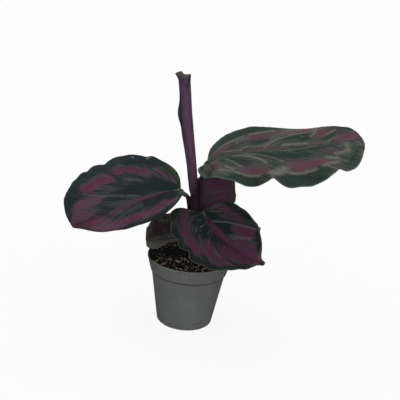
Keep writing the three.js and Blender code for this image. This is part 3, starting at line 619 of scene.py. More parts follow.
# Brush strokes on each half: radius in millimetres, strength, and a path of t, s, t, s and so on
markings = {
    "leaf_left": {
        "left": {
            "blush": [(6.6, .95, .83, .48, .93, .36),
                      (1.9, 1, .3, .55, .34, .64, .38, .72, .44, .78, .5, .74, .56, .74, .61, .85),
                      (1.2, 1, 0, 0, .66, 0), (1.2, .9, .36, .08, .58, .09, .7, .1)],
            "rose": [(5, .8, .82, .22, .9, .35), (1.3, .95, .34, .64, .42, .75),
                     (1.2, .8, .5, .76, .57, .78)],
            "mauve": [(2, .75, .56, .72, .62, .92), (3.6, .7, .7, .62, .76, .5),
                      (1.6, .7, .62, .3, .68, .24), (1.5, .9, .2, .72, .28, .7),
                      (3, .85, .65, .84, .75, .84)],
            "cream": [(1.6, .45, .48, .3, .6, .5), (1.2, .4, .56, .25, .66, .4)],
            "dark": [(5.2, .95, .16, .38, .4, .38), (1.5, .9, .22, .94, .58, .96),
                     (2.6, .6, .46, .3, .6, .35), (2.4, .7, .5, .5, .62, .42)],
            "olive": [(4, .8, .02, .5, .1, .6)],
        },
        "right": {
            "blush": [(3.4, .9, .93, .15, .96, .55), (1.4, .75, .12, .44, .17, .49, .23, .57, .29, .66),
                      (2.1, .8, .34, .54, .42, .63, .52, .75), (3.5, 1, .57, .66, .64, .68, .71, .72),
                      (.8, 1, 0, 0, .6, 0)],
            "rose": [(.7, .7, .17, .51, .27, .63), (1.2, .85, .37, .59, .44, .67, .5, .74),
                     (2.2, .9, .59, .7, .69, .71)],
            "mauve": [(4.6, .95, .75, .42, .81, .5, .87, .58), (5, .9, .87, .2, .9, .5)],
            "cream": [(1.4, .7, .1, .47, .15, .5), (1, .55, .4, .36, .5, .5),
                      (.5, .75, .46, .05, .58, .2, .67, .36, .73, .55, .75, .68),
                      (.35, .6, .5, .05, .62, .22, .7, .4), (.35, .6, .55, .03, .68, .2, .78, .4),
                      (.4, .6, .22, .5, .31, .66)],
            "dark": [(6, 1, .1, .2, .45, .24), (3.6, 1, .45, .2, .62, .26), (3.8, 1, .2, .9, .44, .92),
                     (3.2, .95, .44, .92, .58, .93), (3.8, 1, .58, .93, .97, .91),
                     (1.5, .9, .58, .1, .76, .3)],
            "olive": [(4.2, 1, .04, .8, .17, .92), (1.6, .9, .03, .4, .1, .6)],
            "glint": [(.35, 1, .31, .955, .32, .97), (.3, 1, .325, .93, .33, .94),
                      (.35, 1, .39, .93, .395, .935)],
            "bare": [(.9, 1, .3, .4, .325, .82), (.9, .9, .535, .45, .55, .88),
                     (.8, .8, .745, .55, .76, .88)],
        },
    },
    "leaf_right": {
        "left": {
            "blush": [(2.9, 1, .13, .3, .17, .4, .23, .49), (1.8, .9, .38, .5, .42, .55, .48, .6),
                      (3, 1, .55, .72, .61, .8, .66, .9), (2.7, 1, .73, .72, .76, .52, .77, .42),
                      (4.4, 1, .9, .33, .94, .62), (2.6, .9, .93, .85, .94, .25),
                      (1.2, .95, .72, .05, .83, .07)],
            "rose": [(1.6, .8, .15, .32, .2, .42), (1.1, .8, .39, .53, .43, .57),
                     (1.6, .8, .57, .75, .62, .82), (1.5, .9, .74, .66, .76, .53),
                     (2.8, .95, .91, .35, .93, .6),
                     (.8, 1, .22, .18, .27, .14, .33, .08, .4, .05, .47, .02, .55, 0),
                     (1.1, .6, .54, .02, .62, .01)],
            "mauve": [(3.4, .9, .36, .45, .42, .52, .5, .6), (3, .7, .5, .5, .55, .7),
                      (2.8, .9, .87, .18, .89, .35), (2.4, .85, .84, .82, .86, .5, .88, .1),
                      (2.2, .95, .53, .03, .64, .01)],
            "cream": [(1.1, .9, .25, .57, .33, .62), (.6, .8, .1, .42, .18, .52, .25, .6),
                      (1, .6, .3, .47, .36, .54), (1, .9, .37, .68, .42, .71, .48, .8),
                      (.8, .95, .49, .12, .54, .33, .6, .52, .67, .68, .7, .78),
                      (.5, .7, .46, .12, .5, .3, .55, .5, .6, .64), (.7, .85, .68, .88, .71, .62, .72, .4),
                      (.7, .85, .8, .8, .79, .5), (.9, .5, .34, .2, .42, .17, .5, .14),
                      (.5, .8, .2, .23, .34, .13), (1.2, .9, .6, .1, .72, .08),
                      (.5, .7, .84, .12, .86, .5), (.6, .7, .5, .4, .53, .62, .56, .9)],
            "dark": [(5.4, 1, .07, .8, .28, .83), (3.8, 1, .28, .87, .4, .9, .47, .98),
                     (2.2, .9, .4, .33, .5, .33), (3, 1, .6, .42, .66, .42, .69, .33),
                     (2.4, .95, .8, .35, .83, .5), (1.6, .9, .7, .96, .86, .95),
                     (1, .6, .24, .3, .34, .4)],
            "glint": [(.4, .9, .665, .42, .67, .44)],
        },
        "right": {
            "blush": [(1.9, 1, .1, .25, .17, .38, .24, .52, .3, .61),
                      (2.3, 1, .36, .56, .42, .62, .48, .68), (2.5, 1, .61, .54, .67, .61, .745, .66)],
            "rose": [(1.1, .95, .2, .43, .29, .59), (1.5, 1, .4, .6, .48, .68),
                     (1.6, 1, .63, .59, .72, .65)],
            "mauve": [(2, .9, .4, .48, .48, .56), (2.4, .95, .8, .32, .88, .4), (2, .8, .6, .42, .74, .5),
                      (2.4, .8, .86, 0, .93, .06)],
            "cream": [(4, .4, .04, .1, .15, .25), (.7, .9, .28, .5, .33, .62), (1, .85, .26, .66, .35, .7),
                      (.8, .9, .28, .03, .34, .08, .4, .15, .47, .3, .5, .45),
                      (.5, .7, .36, .03, .46, .14, .54, .3, .58, .42),
                      (1.8, 1, .51, .78, .54, .7, .57, .6), (.9, .85, .36, .7, .46, .78),
                      (1.2, .95, .77, .54, .81, .6), (1.2, .9, .72, .76, .79, .72),
                      (.9, .85, .58, .7, .68, .76), (1.3, .9, .83, .48, .88, .55),
                      (1.3, .75, .88, .62, .9, .45, .93, .12), (.6, .8, .2, .05, .3, .3, .36, .5),
                      (.5, .8, .5, .78, .505, .98), (.4, .7, .72, .74, .735, .98),
                      (.5, .6, .6, .1, .7, .12, .78, .1)],
            "dark": [(3, .85, .22, .12, .38, .32), (3.2, .9, .48, .15, .7, .33),
                     (2, 1, .67, .15, .82, .17), (1.4, .8, .8, .17, .88, .15), (4, 1, .36, .86, .46, .88),
                     (4.2, 1, .56, .86, .68, .88), (2.4, .6, .82, .85, .9, .8), (3, .75, .02, .7, .1, .8),
                     (1.6, .7, .14, .75, .24, .9)],
        },
    },
    "leaf_front": {
        "left": {
            "blush": [(2.2, .95, .25, .69, .33, .72), (2.4, .9, .35, .66, .53, .7),
                      (3.4, 1, .58, .5, .7, .7), (7.2, 1, .78, .3, .93, .35), (1.6, 1, .4, .05, .92, .03)],
            "rose": [(2.4, .9, .6, .54, .7, .7), (4, .9, .85, .22, .93, .32),
                     (1.2, 1, .04, .03, .45, .035, .93, .02)],
            "mauve": [(2, .9, .18, .66, .26, .7), (2.6, .7, .76, .5, .84, .62)],
            "cream": [(2.2, .35, .05, .5, .18, .8), (.5, .85, .12, .32, .26, .52),
                      (.5, .95, .27, .1, .35, .24, .43, .4, .52, .55, .6, .7, .67, .86, .7, .96),
                      (.9, .7, .64, .22, .74, .6), (.5, .7, .58, .2, .68, .42)],
            "dark": [(3.2, 1, .2, .88, .52, .93), (3, .95, .13, .2, .28, .22),
                     (3.4, .95, .36, .25, .54, .28), (2, 1, .72, .9, .95, .88),
                     (.5, 1, .1, .18, .2, .35, .32, .52)],
        },
        "right": {
            "blush": [(2.4, 1, .21, .63, .29, .68, .38, .71, .46, .73, .55, .7),
                      (3.5, 1, .54, .44, .62, .58, .72, .74), (8.2, 1, .76, .32, .93, .36),
                      (.6, 1, .04, 0, .5, 0)],
            "rose": [(1.7, 1, .31, .66, .35, .74), (2.1, 1, .4, .7, .5, .78), (2, .8, .57, .52, .66, .64),
                     (5.4, .95, .76, .26, .9, .4), (.9, 1, .45, .01, .93, 0)],
            "mauve": [(1.6, .9, .09, .78, .14, .64, .19, .58, .24, .64)],
            "cream": [(.35, .7, .2, .16, .25, .3), (.35, .8, .29, .16, .34, .34),
                      (.35, .7, .38, .1, .44, .24), (.5, .55, .14, .3, .2, .46),
                      (.4, .65, .22, .4, .28, .55), (.35, .65, .33, .38, .38, .52),
                      (.5, .5, .46, .22, .53, .4), (.7, .5, .6, .42, .68, .58),
                      (.6, .45, .76, .5, .83, .68)],
            "dark": [(3.8, .9, .06, .38, .17, .4), (4.8, 1, .18, .26, .48, .26),
                     (2.4, 1, .5, .95, .72, .96), (2, 1, .74, .92, .96, .92), (2, .95, .28, .96, .5, .97)],
            "olive": [(2.6, 1, .08, .9, .26, .93)],
            "glint": [(.3, .8, .21, .28, .225, .32), (.3, .8, .31, .24, .325, .28),
                      (.3, .7, .36, .33, .37, .36)],
        },
    },
    "leaf_back": {
        "left": {
            "blush": [(4.4, 1, .5, .3, .8, .36)],
            "rose": [(2.2, .7, .58, .2, .74, .4), (.7, 1, .05, 0, .9, 0)],
            "cream": [(2.4, .4, .4, .6, .6, .7)],
            "dark": [(3, .6, .2, .5, .45, .5)],
            "olive": [(1.6, .9, .1, .93, .9, .95)],
        },
        "right": {
            "blush": [(7, 1, .3, .4, .78, .45)],
            "rose": [(3.2, .9, .44, .56, .6, .5), (3, .8, .6, .2, .76, .4)],
            "cream": [(.4, .6, .34, .1, .5, .6), (.4, .6, .5, .1, .64, .6)],
            "dark": [(2, .6, .1, .3, .3, .3)],
            "olive": [(2.4, 1, .08, .95, .92, .96)],
        },
    },
    "leaf_small": {
        "left": {
            "mauve": [(2.4, .6, .1, .5, .3, .5)],
            "cream": [(8, .9, .36, .55, .95, .5)],
            "dark": [(.5, 1, .1, 0, .95, 0)],
        },
        "right": {
            "blush": [(4.2, 1, .42, .42, .76, .42)],
            "rose": [(2, .7, .5, .45, .68, .4)],
            "cream": [(1.2, .45, .36, .74, .52, .8)],
            "dark": [(.8, 1, .1, 0, .95, 0), (2.4, .6, .3, .75, .6, .8)],
            "olive": [(2.6, .9, .82, .1, .9, .6), (.8, 1, .5, .98, .95, .97)],
        },
    },
}


def midribFrames(leaf):
    # points, forwards, sides and ups of all steps along the midrib
    heading, climb, roll = (math.radians(leaf[key]) for key in ("heading", "climb", "roll"))
    steps = bladeMake["midribSteps"]
    level = math.cos(climb)
    forward = np.array([level * math.cos(heading), level * math.sin(heading), math.sin(climb)])
    side = np.array([-math.sin(heading), math.cos(heading), 0])
    up = np.cross(forward, side)
    side, up = turned(side, forward, roll), turned(up, forward, roll)
    point = np.array(leaf["base"], float)
    frames = [(point, forward, side, up)]
    arch, sweep, twist = (math.radians(leaf[key]) / steps for key in ("arch", "sweep", "twist"))
    for i in range(steps):
        middle = (2 * i + 1) / steps - 1
        turns = [(side, arch * (1 + leaf.get("archSkew", 0) * middle)),
                 (up, sweep * (1 + leaf.get("sweepSkew", 0) * middle))]
        for axis, angle in turns:
            forward, side, up = (turned(v, axis, angle) for v in (forward, side, up))
        side, up = turned(side, forward, twist), turned(up, forward, twist)
        point = point + forward * leaf["length"] / steps
        frames.append((point, forward, side, up))
    return [np.array(rows) for rows in zip(*frames)]


def widthOut(half, t, s):
    # how far out from the midrib a point lies, with the notches and bulges of the margin
    power = math.log(0.5) / math.log(half["widest"])
    margin = half["width"] * np.maximum(np.sin(np.pi * t ** power), 0) ** half["fullness"]
    nicks = sum(depth * bell(t - at, spread) for at, depth, spread in half["nicks"])
    nicks = nicks * smoothStep(np.minimum(t, 1 - t), 0, bladeMake["nickEnds"])
    return margin * s + nicks * s ** bladeMake["nickPower"]


def bladePoints(leaf, frames, half, t, s):
    # the middle surface of one half
    t, s = np.broadcast_arrays(t, s)
    length, steps = leaf["length"], bladeMake["midribSteps"]
    lobe = half["lobe"] * np.sin(np.pi * np.minimum(t / bladeMake["lobeEnd"], 1))
    tipPoint = leaf["tip"] * bell(1 - t, bladeMake["pointReach"])
    marginAt = length * (1 - np.cos(np.pi * t)) / 2 - lobe + tipPoint
    root = length * t ** bladeMake["rootPower"]
    distance = root + (marginAt - root) * s ** bladeMake["bendPower"]
    at = np.clip(distance / length * steps, 0, steps - 1e-6)
    low = at.astype(int)
    share = (at - low)[..., None]
    point, forward, side, up = (mix(values[low], values[low + 1], share) for values in frames)
    beyond = np.minimum(distance, 0) + np.maximum(distance - length, 0)
    point = point + forward * beyond[..., None]

    def tilt(x):
        fold = half.get("fold", 0) * smoothStep(x, bladeMake["foldFrom"], 1)
        return np.radians(half["cup"] + half["curl"] * x + fold)

    stations = np.linspace(0, bladeMake["sectionEnd"], bladeMake["sectionSteps"] + 1)
    slopes = tilt((stations[:-1] + stations[1:]) / 2)
    outs, rises = (np.concatenate([[0], np.cumsum(part(slopes))]) * half["width"] * stations[1]
                   for part in (np.cos, np.sin))
    reach = np.clip(widthOut(half, t, s) / half["width"], 0, bladeMake["sectionEnd"])
    slope = tilt(reach)
    wave = half["wave"] * s * s * np.sqrt(np.maximum(np.sin(np.pi * t), 0))
    wave = wave * np.sin(2 * np.pi * (half["waves"] * t + half["phase"]))
    out = np.interp(reach, stations, outs) - wave * np.sin(slope)
    lift = np.interp(reach, stations, rises) + wave * np.cos(slope)
    return point + side * (half["sign"] * out)[..., None] + up * lift[..., None]


def bladeNormals(leaf, frames, half, t, s):
    step = bladeMake["normalStep"]
    t, s = np.clip(t, 2 * step, 1 - 2 * step), np.clip(s, step, 1 - step)
    along, across = (bladePoints(leaf, frames, half, t + dt, s + ds)
                     - bladePoints(leaf, frames, half, t - dt, s - ds) for dt, ds in ((step, 0), (0, step)))
    return unit(np.cross(along, across)) * half["sign"]


def veinOf(half, t, s):
    # which side vein passes a point, found by stepping back along its lean
    rounds, pull = 30, 0.6
    starts, leans = np.array(half["lean"]).T
    carried = (1 - np.exp(-s / half["bend"])) / (1 - math.exp(-1 / half["bend"]))
    vein = t
    for _ in range(rounds):
        vein = mix(vein, t - np.interp(vein, starts, leans) * carried, pull)
    return vein


def inkAmount(strokes, x, y, size):
    # 1 well inside a stroke and 0 outside it, falling across a band as wide as the brush allows
    amount = np.zeros_like(x)
    for radius, strength, *path in strokes:
        corners = np.reshape(path, (-1, 2)) * size
        nearest = np.full_like(x, 1e9)
        for (ax, ay), (bx, by) in zip(corners[:-1], corners[1:]):
            dx, dy = bx - ax, by - ay
            share = np.clip(((x - ax) * dx + (y - ay) * dy) / (dx * dx + dy * dy + 1e-9), 0, 1)
            nearest = np.minimum(nearest, np.hypot(x - ax - share * dx, y - ay - share * dy))
        band = min(brushMake["band"], brushMake["bandShare"] * radius)
        amount = np.maximum(amount, strength * np.clip(0.5 + (radius - nearest) / band, 0, 1))
    return amount


def halfSheet(leaf, frames, half, t, s):
    # both faces of one half, its middle, and what its materials read at each point
    t, s = np.broadcast_arrays(t[:, None], s[None, :])
    middle = bladePoints(leaf, frames, half, t, s)
    normal = bladeNormals(leaf, frames, half, t, s)
    vein = veinOf(half, t, s) * leaf["length"]
    out = widthOut(half, t, s)
    size = leaf["length"], half["width"]
    marks = {ink: inkAmount(half["strokes"].get(ink, []), t * size[0], s * size[1], size) for ink in inks}
    for ink in ("blush", "rose", "mauve"):
        marks[ink] = marks[ink] * (1 - marks["bare"])
    marks["vein"], marks["across"] = vein, out * half["sign"]
    marks["margin"] = widthOut(half, t, np.ones_like(s)) - out + smoothStep(t, *bladeMake["rimLineEnd"])
    marks["rib"] = bell(out, bladeMake["ribLine"]) * smoothStep(1 - t, *bladeMake["ribFade"])

    def hills(key, apart, seed):
        along, across = bladeMake[key]
        return softNoise(vein / along + apart, out / across + apart, seed)

    wander = bladeMake["pleatWander"] * hills("wanderSize", 7, leaf["shift"] + 1)
    pleat = np.sin(2 * np.pi * (vein + wander) / bladeMake["pleatWidth"])
    pleat = pleat * (bladeMake["pleatLeast"] + bladeMake["pleatMore"] * hills("pleatSize", 0, 2))
    pleat = bladeMake["pleat"] * pleat * smoothStep(s, *bladeMake["pleatFade"])
    ripple = bladeMake["ripple"] * hills("rippleSize", 20, leaf["shift"])
    fade = smoothStep(np.minimum(t, 1 - t), *bladeMake["endFade"])
    relief = (pleat + ripple * smoothStep(s, *bladeMake["rippleFade"])) * fade
    thick = bladeMake["thickness"] / 2 * (1 - bladeMake["marginThin"] * s ** 3)
    ribRadius = leaf["stalkRadius"] * mix(bladeMake["ribBase"], bladeMake["ribTip"], t)
    ridge = ribRadius * bell(out, bladeMake["ribWidth"] * ribRadius)
    ridge = ridge * smoothStep(1 - t, *bladeMake["ridgeFade"])
    groove = bladeMake["groove"] * bell(out, bladeMake["grooveWidth"]) * fade
    upper = middle + normal * (thick + relief - groove)[..., None]
    lower = middle - normal * (thick - relief + ridge)[..., None]
    return upper, lower, middle, marks


def addBlade(surface, leaf):
    frames = midribFrames(leaf)
    alongCount, acrossCount = leaf["steps"]
    share = np.arange(1, alongCount) / alongCount
    t = mix(share, (1 - np.cos(np.pi * share)) / 2, 0.5)  # closer together at base and tip
    s = (np.arange(acrossCount + 1) / acrossCount) ** 1.2  # and near the midrib
    left, right = (halfSheet(leaf, frames, leaf[side], t, s) for side in ("left", "right"))

    def whole(a, b):
        # right margin, midrib, left margin, with the two halves averaged on the midrib
        spine = (a[:, :1] + b[:, :1]) / 2
        return np.concatenate([b[:, :0:-1], spine, a[:, 1:]], 1)

    upper, lower, middle = (whole(left[k], right[k]) for k in range(3))
    marks = {key: whole(left[3][key], right[3][key]) for key in left[3]}
    top = surface.addSheet(upper, 0, (0.01, 0.01, 0.99, 0.42), marks)
    under = surface.addSheet(lower, 1, (0.01, 0.44, 0.99, 0.80), marks, flip=True)
    poles = []
    for row, at in ((0, 0.0), (-1, 1.0)):
        forward, up = frames[1][row], frames[3][row]
        point = bladePoints(leaf, frames, leaf["left"], np.array([at]), np.array([0.0]))[0]
        point = point + forward * leaf["tip"] * at
        closing = {key: values[row].mean() for key, values in marks.items()} | {"margin": 0.0}
        island = (0.01 + 0.3 * at, 0.982, 0.2 + 0.3 * at, 0.99)
        offset = up * bladeMake["poleOffset"]
        upperPole = surface.addFan(point + offset, top[row], 0, island, closing, flip=row != 0)
        underPole = surface.addFan(point - offset, under[row], 1, island, closing, flip=row == 0)
        poles.append((upperPole, underPole, point + forward * bladeMake["rim"] * (2 * at - 1), closing))
    upperPoles, underPoles, rimPoles, closings = zip(*poles)

    def loop(ends, sheet):
        # once round the blade: from the base up the right margin, past the tip and down the left
        return np.concatenate([ends[:1], sheet[:, 0], ends[1:], sheet[::-1, -1]])

    edge = middle.copy()
    for outer, inner in ((0, 1), (-1, -2)):
        edge[:, outer] += unit(middle[:, outer] - middle[:, inner]) * bladeMake["rim"]
    rimPoints = loop(rimPoles, edge)
    first = surface.addPoints(rimPoints, {key: loop([closing[key] for closing in closings], values)
                                          for key, values in marks.items()})
    rim, ringTop, ringUnder = (np.append(ring, ring[0]) for ring in (
        first + np.arange(len(rimPoints)), loop(upperPoles, top), loop(underPoles, under)))
    surface.join(np.stack([rim, ringTop], 1), 0, (0.01, 0.962, 0.99, 0.970))
    surface.join(np.stack([ringUnder, rim], 1), 1, (0.01, 0.972, 0.99, 0.980))
    return frames


# How each ink lies: which grain frays it, how far, how soft its edge is, how well it covers,
# and how much the fine grain wears it away
brushes = {
    "dark": ("Streak", 0.6, 0.45, 0.9, 0.22), "olive": ("Streak", 0.6, 0.4, 0.9, 0.4),
    "mauve": ("Feather", 0.9, 0.45, 0.9, 0.4), "blush": ("Streak", 0.85, 0.35, 0.97, 0.55),
    "rose": ("Streak", 0.9, 0.45, 0.95, 0.5), "cream": ("Hair", 0.9, 0.5, 0.9, 0.3),
    "glint": ("Hair", 0.5, 0.2, 1.0, 0.0),
}
undersidePaint = {"ground": "553040", "dark": "3f2231", "light": "6c4659", "rib": "7a6066"}
stalkPaint = {
    "stalkBrown": {"low": "1c1217", "high": "33262a", "joint": "666a60", "gloss": 0.45},
    "stalkWine": {"low": "221620", "high": "3c2833", "joint": "4c5247", "gloss": 0.45},
}


def makeLeafFace(name, leaf):
    skin = Skin(name + "_face", dict(zip(paintNames, leaf["paints"].split())), specular=0.12)
    grain = skin.use(veinStreaks, skin.mark("vein"), skin.mark("across"), leaf["shift"])
    margin = skin.mark("margin")
    skin.ground(grain["Patch"].rise(0.38, 0.66), "ground", "light")
    # the streaks fade towards the margin, which is smooth
    inner = margin.rise(2.5, 7.0).between(0.2, 1.0)
    skin.lay(grain["Streak"].rise(0.5, 1.0) * 0.55 * inner, "dark")
    worn = grain["Feather"].rise(0.45, 1.0) * grain["Patch"].rise(0.3, 0.6)
    for ink, (frayed, ragged, soft, cover, wear) in brushes.items():
        mask = skin.use(brushEdge, skin.mark(ink), grain[frayed], ragged, soft)["Mask"]
        shade = inner.blend(skin.paints["band"], skin.paints["dark"]) if ink == "dark" else ink
        skin.lay(mask * (cover + worn * -wear), shade)
    # thin pale streaks along the veins: the leaf's own fine lines, with painted sheen along them
    skin.lay(grain["Hair"].rise(0.5, 1.0) * 0.22 * inner, "light")
    skin.lay(grain["Feather"].rise(0.4, 0.0) * 0.4 * inner, "dark")
    skin.lay(grain["Veinlet"].rise(0.55, 1.0) * 0.16, "dark")
    skin.lay((1.0 - margin.rise(0.1, 0.75)) * 0.7, "rim")
    return skin.finish(leaf["gloss"] + grain["Patch"] * 0.2, grain["Height"], 0.5, 0.16)


def makeLeafUnder(name, leaf):
    skin = Skin(name + "_under", undersidePaint)
    grain = skin.use(veinStreaks, skin.mark("vein"), skin.mark("across"), leaf["shift"] + 5)
    skin.ground(grain["Patch"].rise(0.3, 0.7), "ground", "light")
    skin.lay(grain["Streak"].rise(0.5, 1.0) * 0.7, "dark")
    skin.lay(grain["Veinlet"].rise(0.5, 1.0) * 0.3, "dark")
    skin.lay(skin.mark("rib") * 0.8, "rib")
    return skin.finish(0.5 + grain["Patch"] * 0.2, grain["Height"], 0.6, 0.2)


def makeStalk(name):
    skin = Skin(name, stalkPaint[name], specular=0.25)
    grain = skin.use(fibreGrain, skin.mark("vein"), skin.mark("across"), 2.0)
    skin.ground(grain["Fibre"].rise(0.35, 0.7), "low", "high")
    skin.lay(grain["Patch"].rise(0.45, 0.65) * 0.5, "low")
    skin.lay(skin.mark("olive"), "joint")
    return skin.finish(skin.paints["gloss"], grain["Height"], 0.5, 0.15)


def addStalk(surface, leaf, frames):
    steps, sides = stalkMake["steps"], stalkMake["sides"]
    last = round(bladeMake["midribSteps"] * stalkMake["endsAlong"])
    end = frames[0][last] - frames[3][last] * stalkMake["sunk"]
    path, passed = evenPath([*leaf["stalk"], leaf["base"], end], steps)
    share = passed / passed[-1]
    swell = smoothStep(share, stalkMake["jointFrom"], stalkMake["jointFrom"] + stalkMake["jointOver"])
    radii = leaf["stalkRadius"] * (1 + stalkMake["jointSwell"] * swell)
    radii = radii * (1 - stalkMake["taper"] * smoothStep(share, stalkMake["taperFrom"], 1.0))
    around = 2 * np.pi * leaf["stalkRadius"] * np.arange(sides) / sides
    marks = {"vein": passed[:, None], "across": np.minimum(around, around.max() - around),
             "olive": swell[:, None]}
    rings = tubeRings(path, radii, sides)
    index = surface.addSheet(rings, 2, (0.01, 0.82, 0.99, 0.955), marks, around=True, flip=True)
    for row, island in ((0, (0.55, 0.982, 0.7, 0.99)), (-1, (0.75, 0.982, 0.9, 0.99))):
        surface.addFan(path[row], index[row], 2, island, {"vein": passed[row]}, flip=row == 0)


stalkMaterials = {name: makeStalk(name) for name in stalkPaint}
for leafName, leaf in leaves.items():
    for side, sign in (("left", 1), ("right", -1)):
        leaf[side] |= {"sign": sign, "strokes": markings[leafName][side]}
    leafSurface = Surface([*inks, "vein", "across", "margin", "rib"])
    addStalk(leafSurface, leaf, addBlade(leafSurface, leaf))
    finishes = [makeLeafFace(leafName, leaf), makeLeafUnder(leafName, leaf),
                stalkMaterials[leaf["stalkPaint"]]]
    handIn(leafSurface.newObject(leafName + "_dressed", finishes), leafName)


# The rolled leaf: one sheet wound on itself, open and ragged at the top

spear = {
    "axis": [(4.9, 0, 41.4), (4.4, 0, 54), (2.7, 0, 70), (0.7, 0, 86), (-0.4, 0, 93.5), (-1.6, 0, 99.5),
             (-2.8, 0, 107), (-4.5, 0, 117), (-6.5, 0, 127), (-8.7, 0, 137.5), (-10.4, 0, 147.5),
             (-11.3, 0, 153), (-12.3, 0, 161), (-14.1, 0, 172), (-15, 0, 176.2)],
    "radius": [1.95, 1.95, 1.95, 2, 2.35, 3.1, 3.35, 3.4, 3.7, 4.1, 4.05, 3.95, 3.8, 3.9, 4.7],
    "seam": [190, 190, 200, 230, 250, 262, 275, 268, 250, 228, 196, 184, 178, 172, 170],
    "lap": 0.16, "turns": 2.5, "innerLap": 0.3, "thickness": 0.42, "thinnest": 0.13,
    # how far the rim rises above the top, by the angle seen from above, with its front at 270
    "rim": [(0, 1.1), (30, 1.4), (60, 1.1), (86, 0.7), (100, 1.5), (112, 2.6), (124, 2.1), (145, 1.6),
            (178, 1.2), (205, 0.3), (235, -0.3), (270, -0.4), (310, -0.6), (340, 0.3)],
    # from these turns inwards it ends lower, by so much for each further turn
    "rimFrom": 0.86, "rimSink": [(1, 1), (1.5, 2.2)], "rag": 0.35, "ragWidth": 22,
    "dip": {"at": 312, "deep": 6, "spread": 34, "from": 0.8, "to": 1.0},
    "hood": {"at": 180, "out": 1.1, "spread": 24, "from": 0.972},
    "flapHeight": 151, "flapSpread": 7, "flapLift": 0.42, "flapSharpness": 10,
    # ribs wind up the outside, a little slanted and uneven
    "rows": 230, "columns": 150, "rib": 0.07, "ribWidth": 1.1, "slant": 0.12, "ribEnd": 1.05, "dent": 0.06,
    "paint": {
        "plum": "6a4b67", "violet": "6a4e6b", "pink": "744a60", "deep": "392a2f", "line": "3c2c40",
        "edge": "454440", "flap": "787a66", "tan": "837a70", "inner": "605a5c", "shadow": "575270",
        "seam": "3a2a3c", "gloss": 0.45,
    },
}


def spearAt(height):
    # middle, radius and seam of the rolled leaf at each height
    heights = np.array(spear["axis"])[:, 2]
    stations = np.arange(len(heights))
    at = np.interp(height, heights, stations)
    return curvePoint(spear["axis"], at), *(np.interp(at, stations, spear[key]) for key in ("radius", "seam"))


def addRolledLeaf():
    low, top = spear["axis"][0][2], spear["axis"][-1][2]
    rowShare = (np.arange(spear["rows"]) / (spear["rows"] - 1))[:, None]
    height = mix(low, top, rowShare)
    turn = spear["turns"] * np.arange(spear["columns"]) / (spear["columns"] - 1)
    centre, radius, seam = (values[:, None] for values in spearAt(height[:, 0]))
    angle = seam + 360 * (1 - turn)

    def nearTo(part):
        # 1 at the angle of the dip or the hood, falling on both sides
        return bell(np.abs((angle - part["at"] + 540) % 360 - 180), part["spread"])

    lap, dip, hood = spear["lap"], spear["dip"], spear["hood"]
    flap = bell(height - spear["flapHeight"], spear["flapSpread"])
    reach = 1 + lap / 2 - lap * np.minimum(turn, 1) - spear["innerLap"] * np.maximum(turn - 1, 0)
    reach = reach + spear["flapLift"] * flap * np.maximum(1 - turn, 0) ** spear["flapSharpness"]
    rimAngles, rimRises = np.array(spear["rim"], float).T
    rag = np.interp(angle % 360, rimAngles, rimRises, period=360)
    for start, sink in spear["rimSink"]:
        rag = rag - sink * np.maximum(turn - start, 0)
    rag = rag + spear["rag"] * softNoise(angle / spear["ragWidth"] + 40, 3, 5)
    rag = rag - dip["deep"] * nearTo(dip) * smoothStep(-turn, -dip["to"], -dip["from"])
    flare = hood["out"] * nearTo(hood) * smoothStep(rowShare, hood["from"], 1)
    arc = radius * np.radians(angle)
    slanted = arc + spear["slant"] * height
    ribs = spear["rib"] * np.sin(2 * np.pi * slanted / spear["ribWidth"])
    ribs = ribs + spear["dent"] * softNoise(arc / 1.6 + 30, height / 14, 6)
    ribs = ribs * smoothStep(turn, 0, 0.04) * (turn < spear["ribEnd"])
    outward = np.stack([np.cos(np.radians(angle)), np.sin(np.radians(angle)), np.zeros_like(angle)], -1)
    # thinner where it is narrow, and towards its outer edge and its rim
    thick = np.minimum(spear["thickness"], spear["thinnest"] * radius)
    thick = thick * (0.45 + 0.55 * smoothStep(turn, 0, 0.02))
    thick = thick * (0.6 + 0.4 * smoothStep(1 - rowShare, 0, 0.01))
    base = centre + np.array([0, 0, 1.0]) * (smoothStep(rowShare, spear["rimFrom"], 1) * rag)[..., None]
    outer, inner = (base + outward * (radius * reach + ribs + flare - less)[..., None] for less in (0, thick))
    marks = {"vein": slanted, "across": height, "outerEdge": turn * 2 * np.pi * radius, "toTop": top - height,
             "turn": turn, "aside": outward[..., 0], "flap": flap * smoothStep(-turn, -0.16, -0.04)}
    surface = Surface(marks)
    outside = surface.addSheet(outer, 0, (0.01, 0.01, 0.99, 0.60), marks)
    inside = surface.addSheet(inner, 1, (0.01, 0.62, 0.99, 0.95), marks, flip=True)
    edges = [np.concatenate([sheet[:, 0], sheet[-1, 1:], sheet[-2::-1, -1], sheet[0, -2::-1]])
             for sheet in (inside, outside)]
    surface.join(np.stack(edges, 1), 0, (0.01, 0.97, 0.99, 0.99))
    return surface


def makeSpearOutside():
    skin = Skin("rolledLeafOutside", spear["paint"], specular=0.3)
    grain = skin.use(fibreGrain, skin.mark("across"), skin.mark("vein"), 4.0)
    aside = skin.mark("aside") + (grain["Patch"] - 0.5) * 2.4
    skin.ground(aside.rise(-0.7, 0.3), "violet", "plum")
    skin.lay(aside.rise(0.25, 0.9) * 0.45, "pink")
    skin.lay((1.0 - skin.mark("across").rise(92.0, 126.0)) * 0.7, "deep")
    skin.lay(grain["Fibre"].rise(0.46, 0.68) * 0.45, "line")
    skin.lay(grain["Fibre"].rise(0.44, 0.3) * 0.3, "pink")
    skin.lay(skin.mark("turn").rise(1.0, 1.1) * 0.85, "shadow")
    skin.lay((1.0 - skin.mark("outerEdge").rise(0.2, 1.2)) * 0.5, "seam")
    # the flap is painted olive green, its own colour, made paler as painted light against the shade it lies
    # in
    skin.lay(skin.mark("flap"), "flap")
    skin.lay((1.0 - skin.mark("toTop").rise(0.1, 1.1)) * 0.75, "edge")
    return skin.finish(skin.paints["gloss"] + grain["Patch"] * 0.15, grain["Height"], 0.5, 0.14)


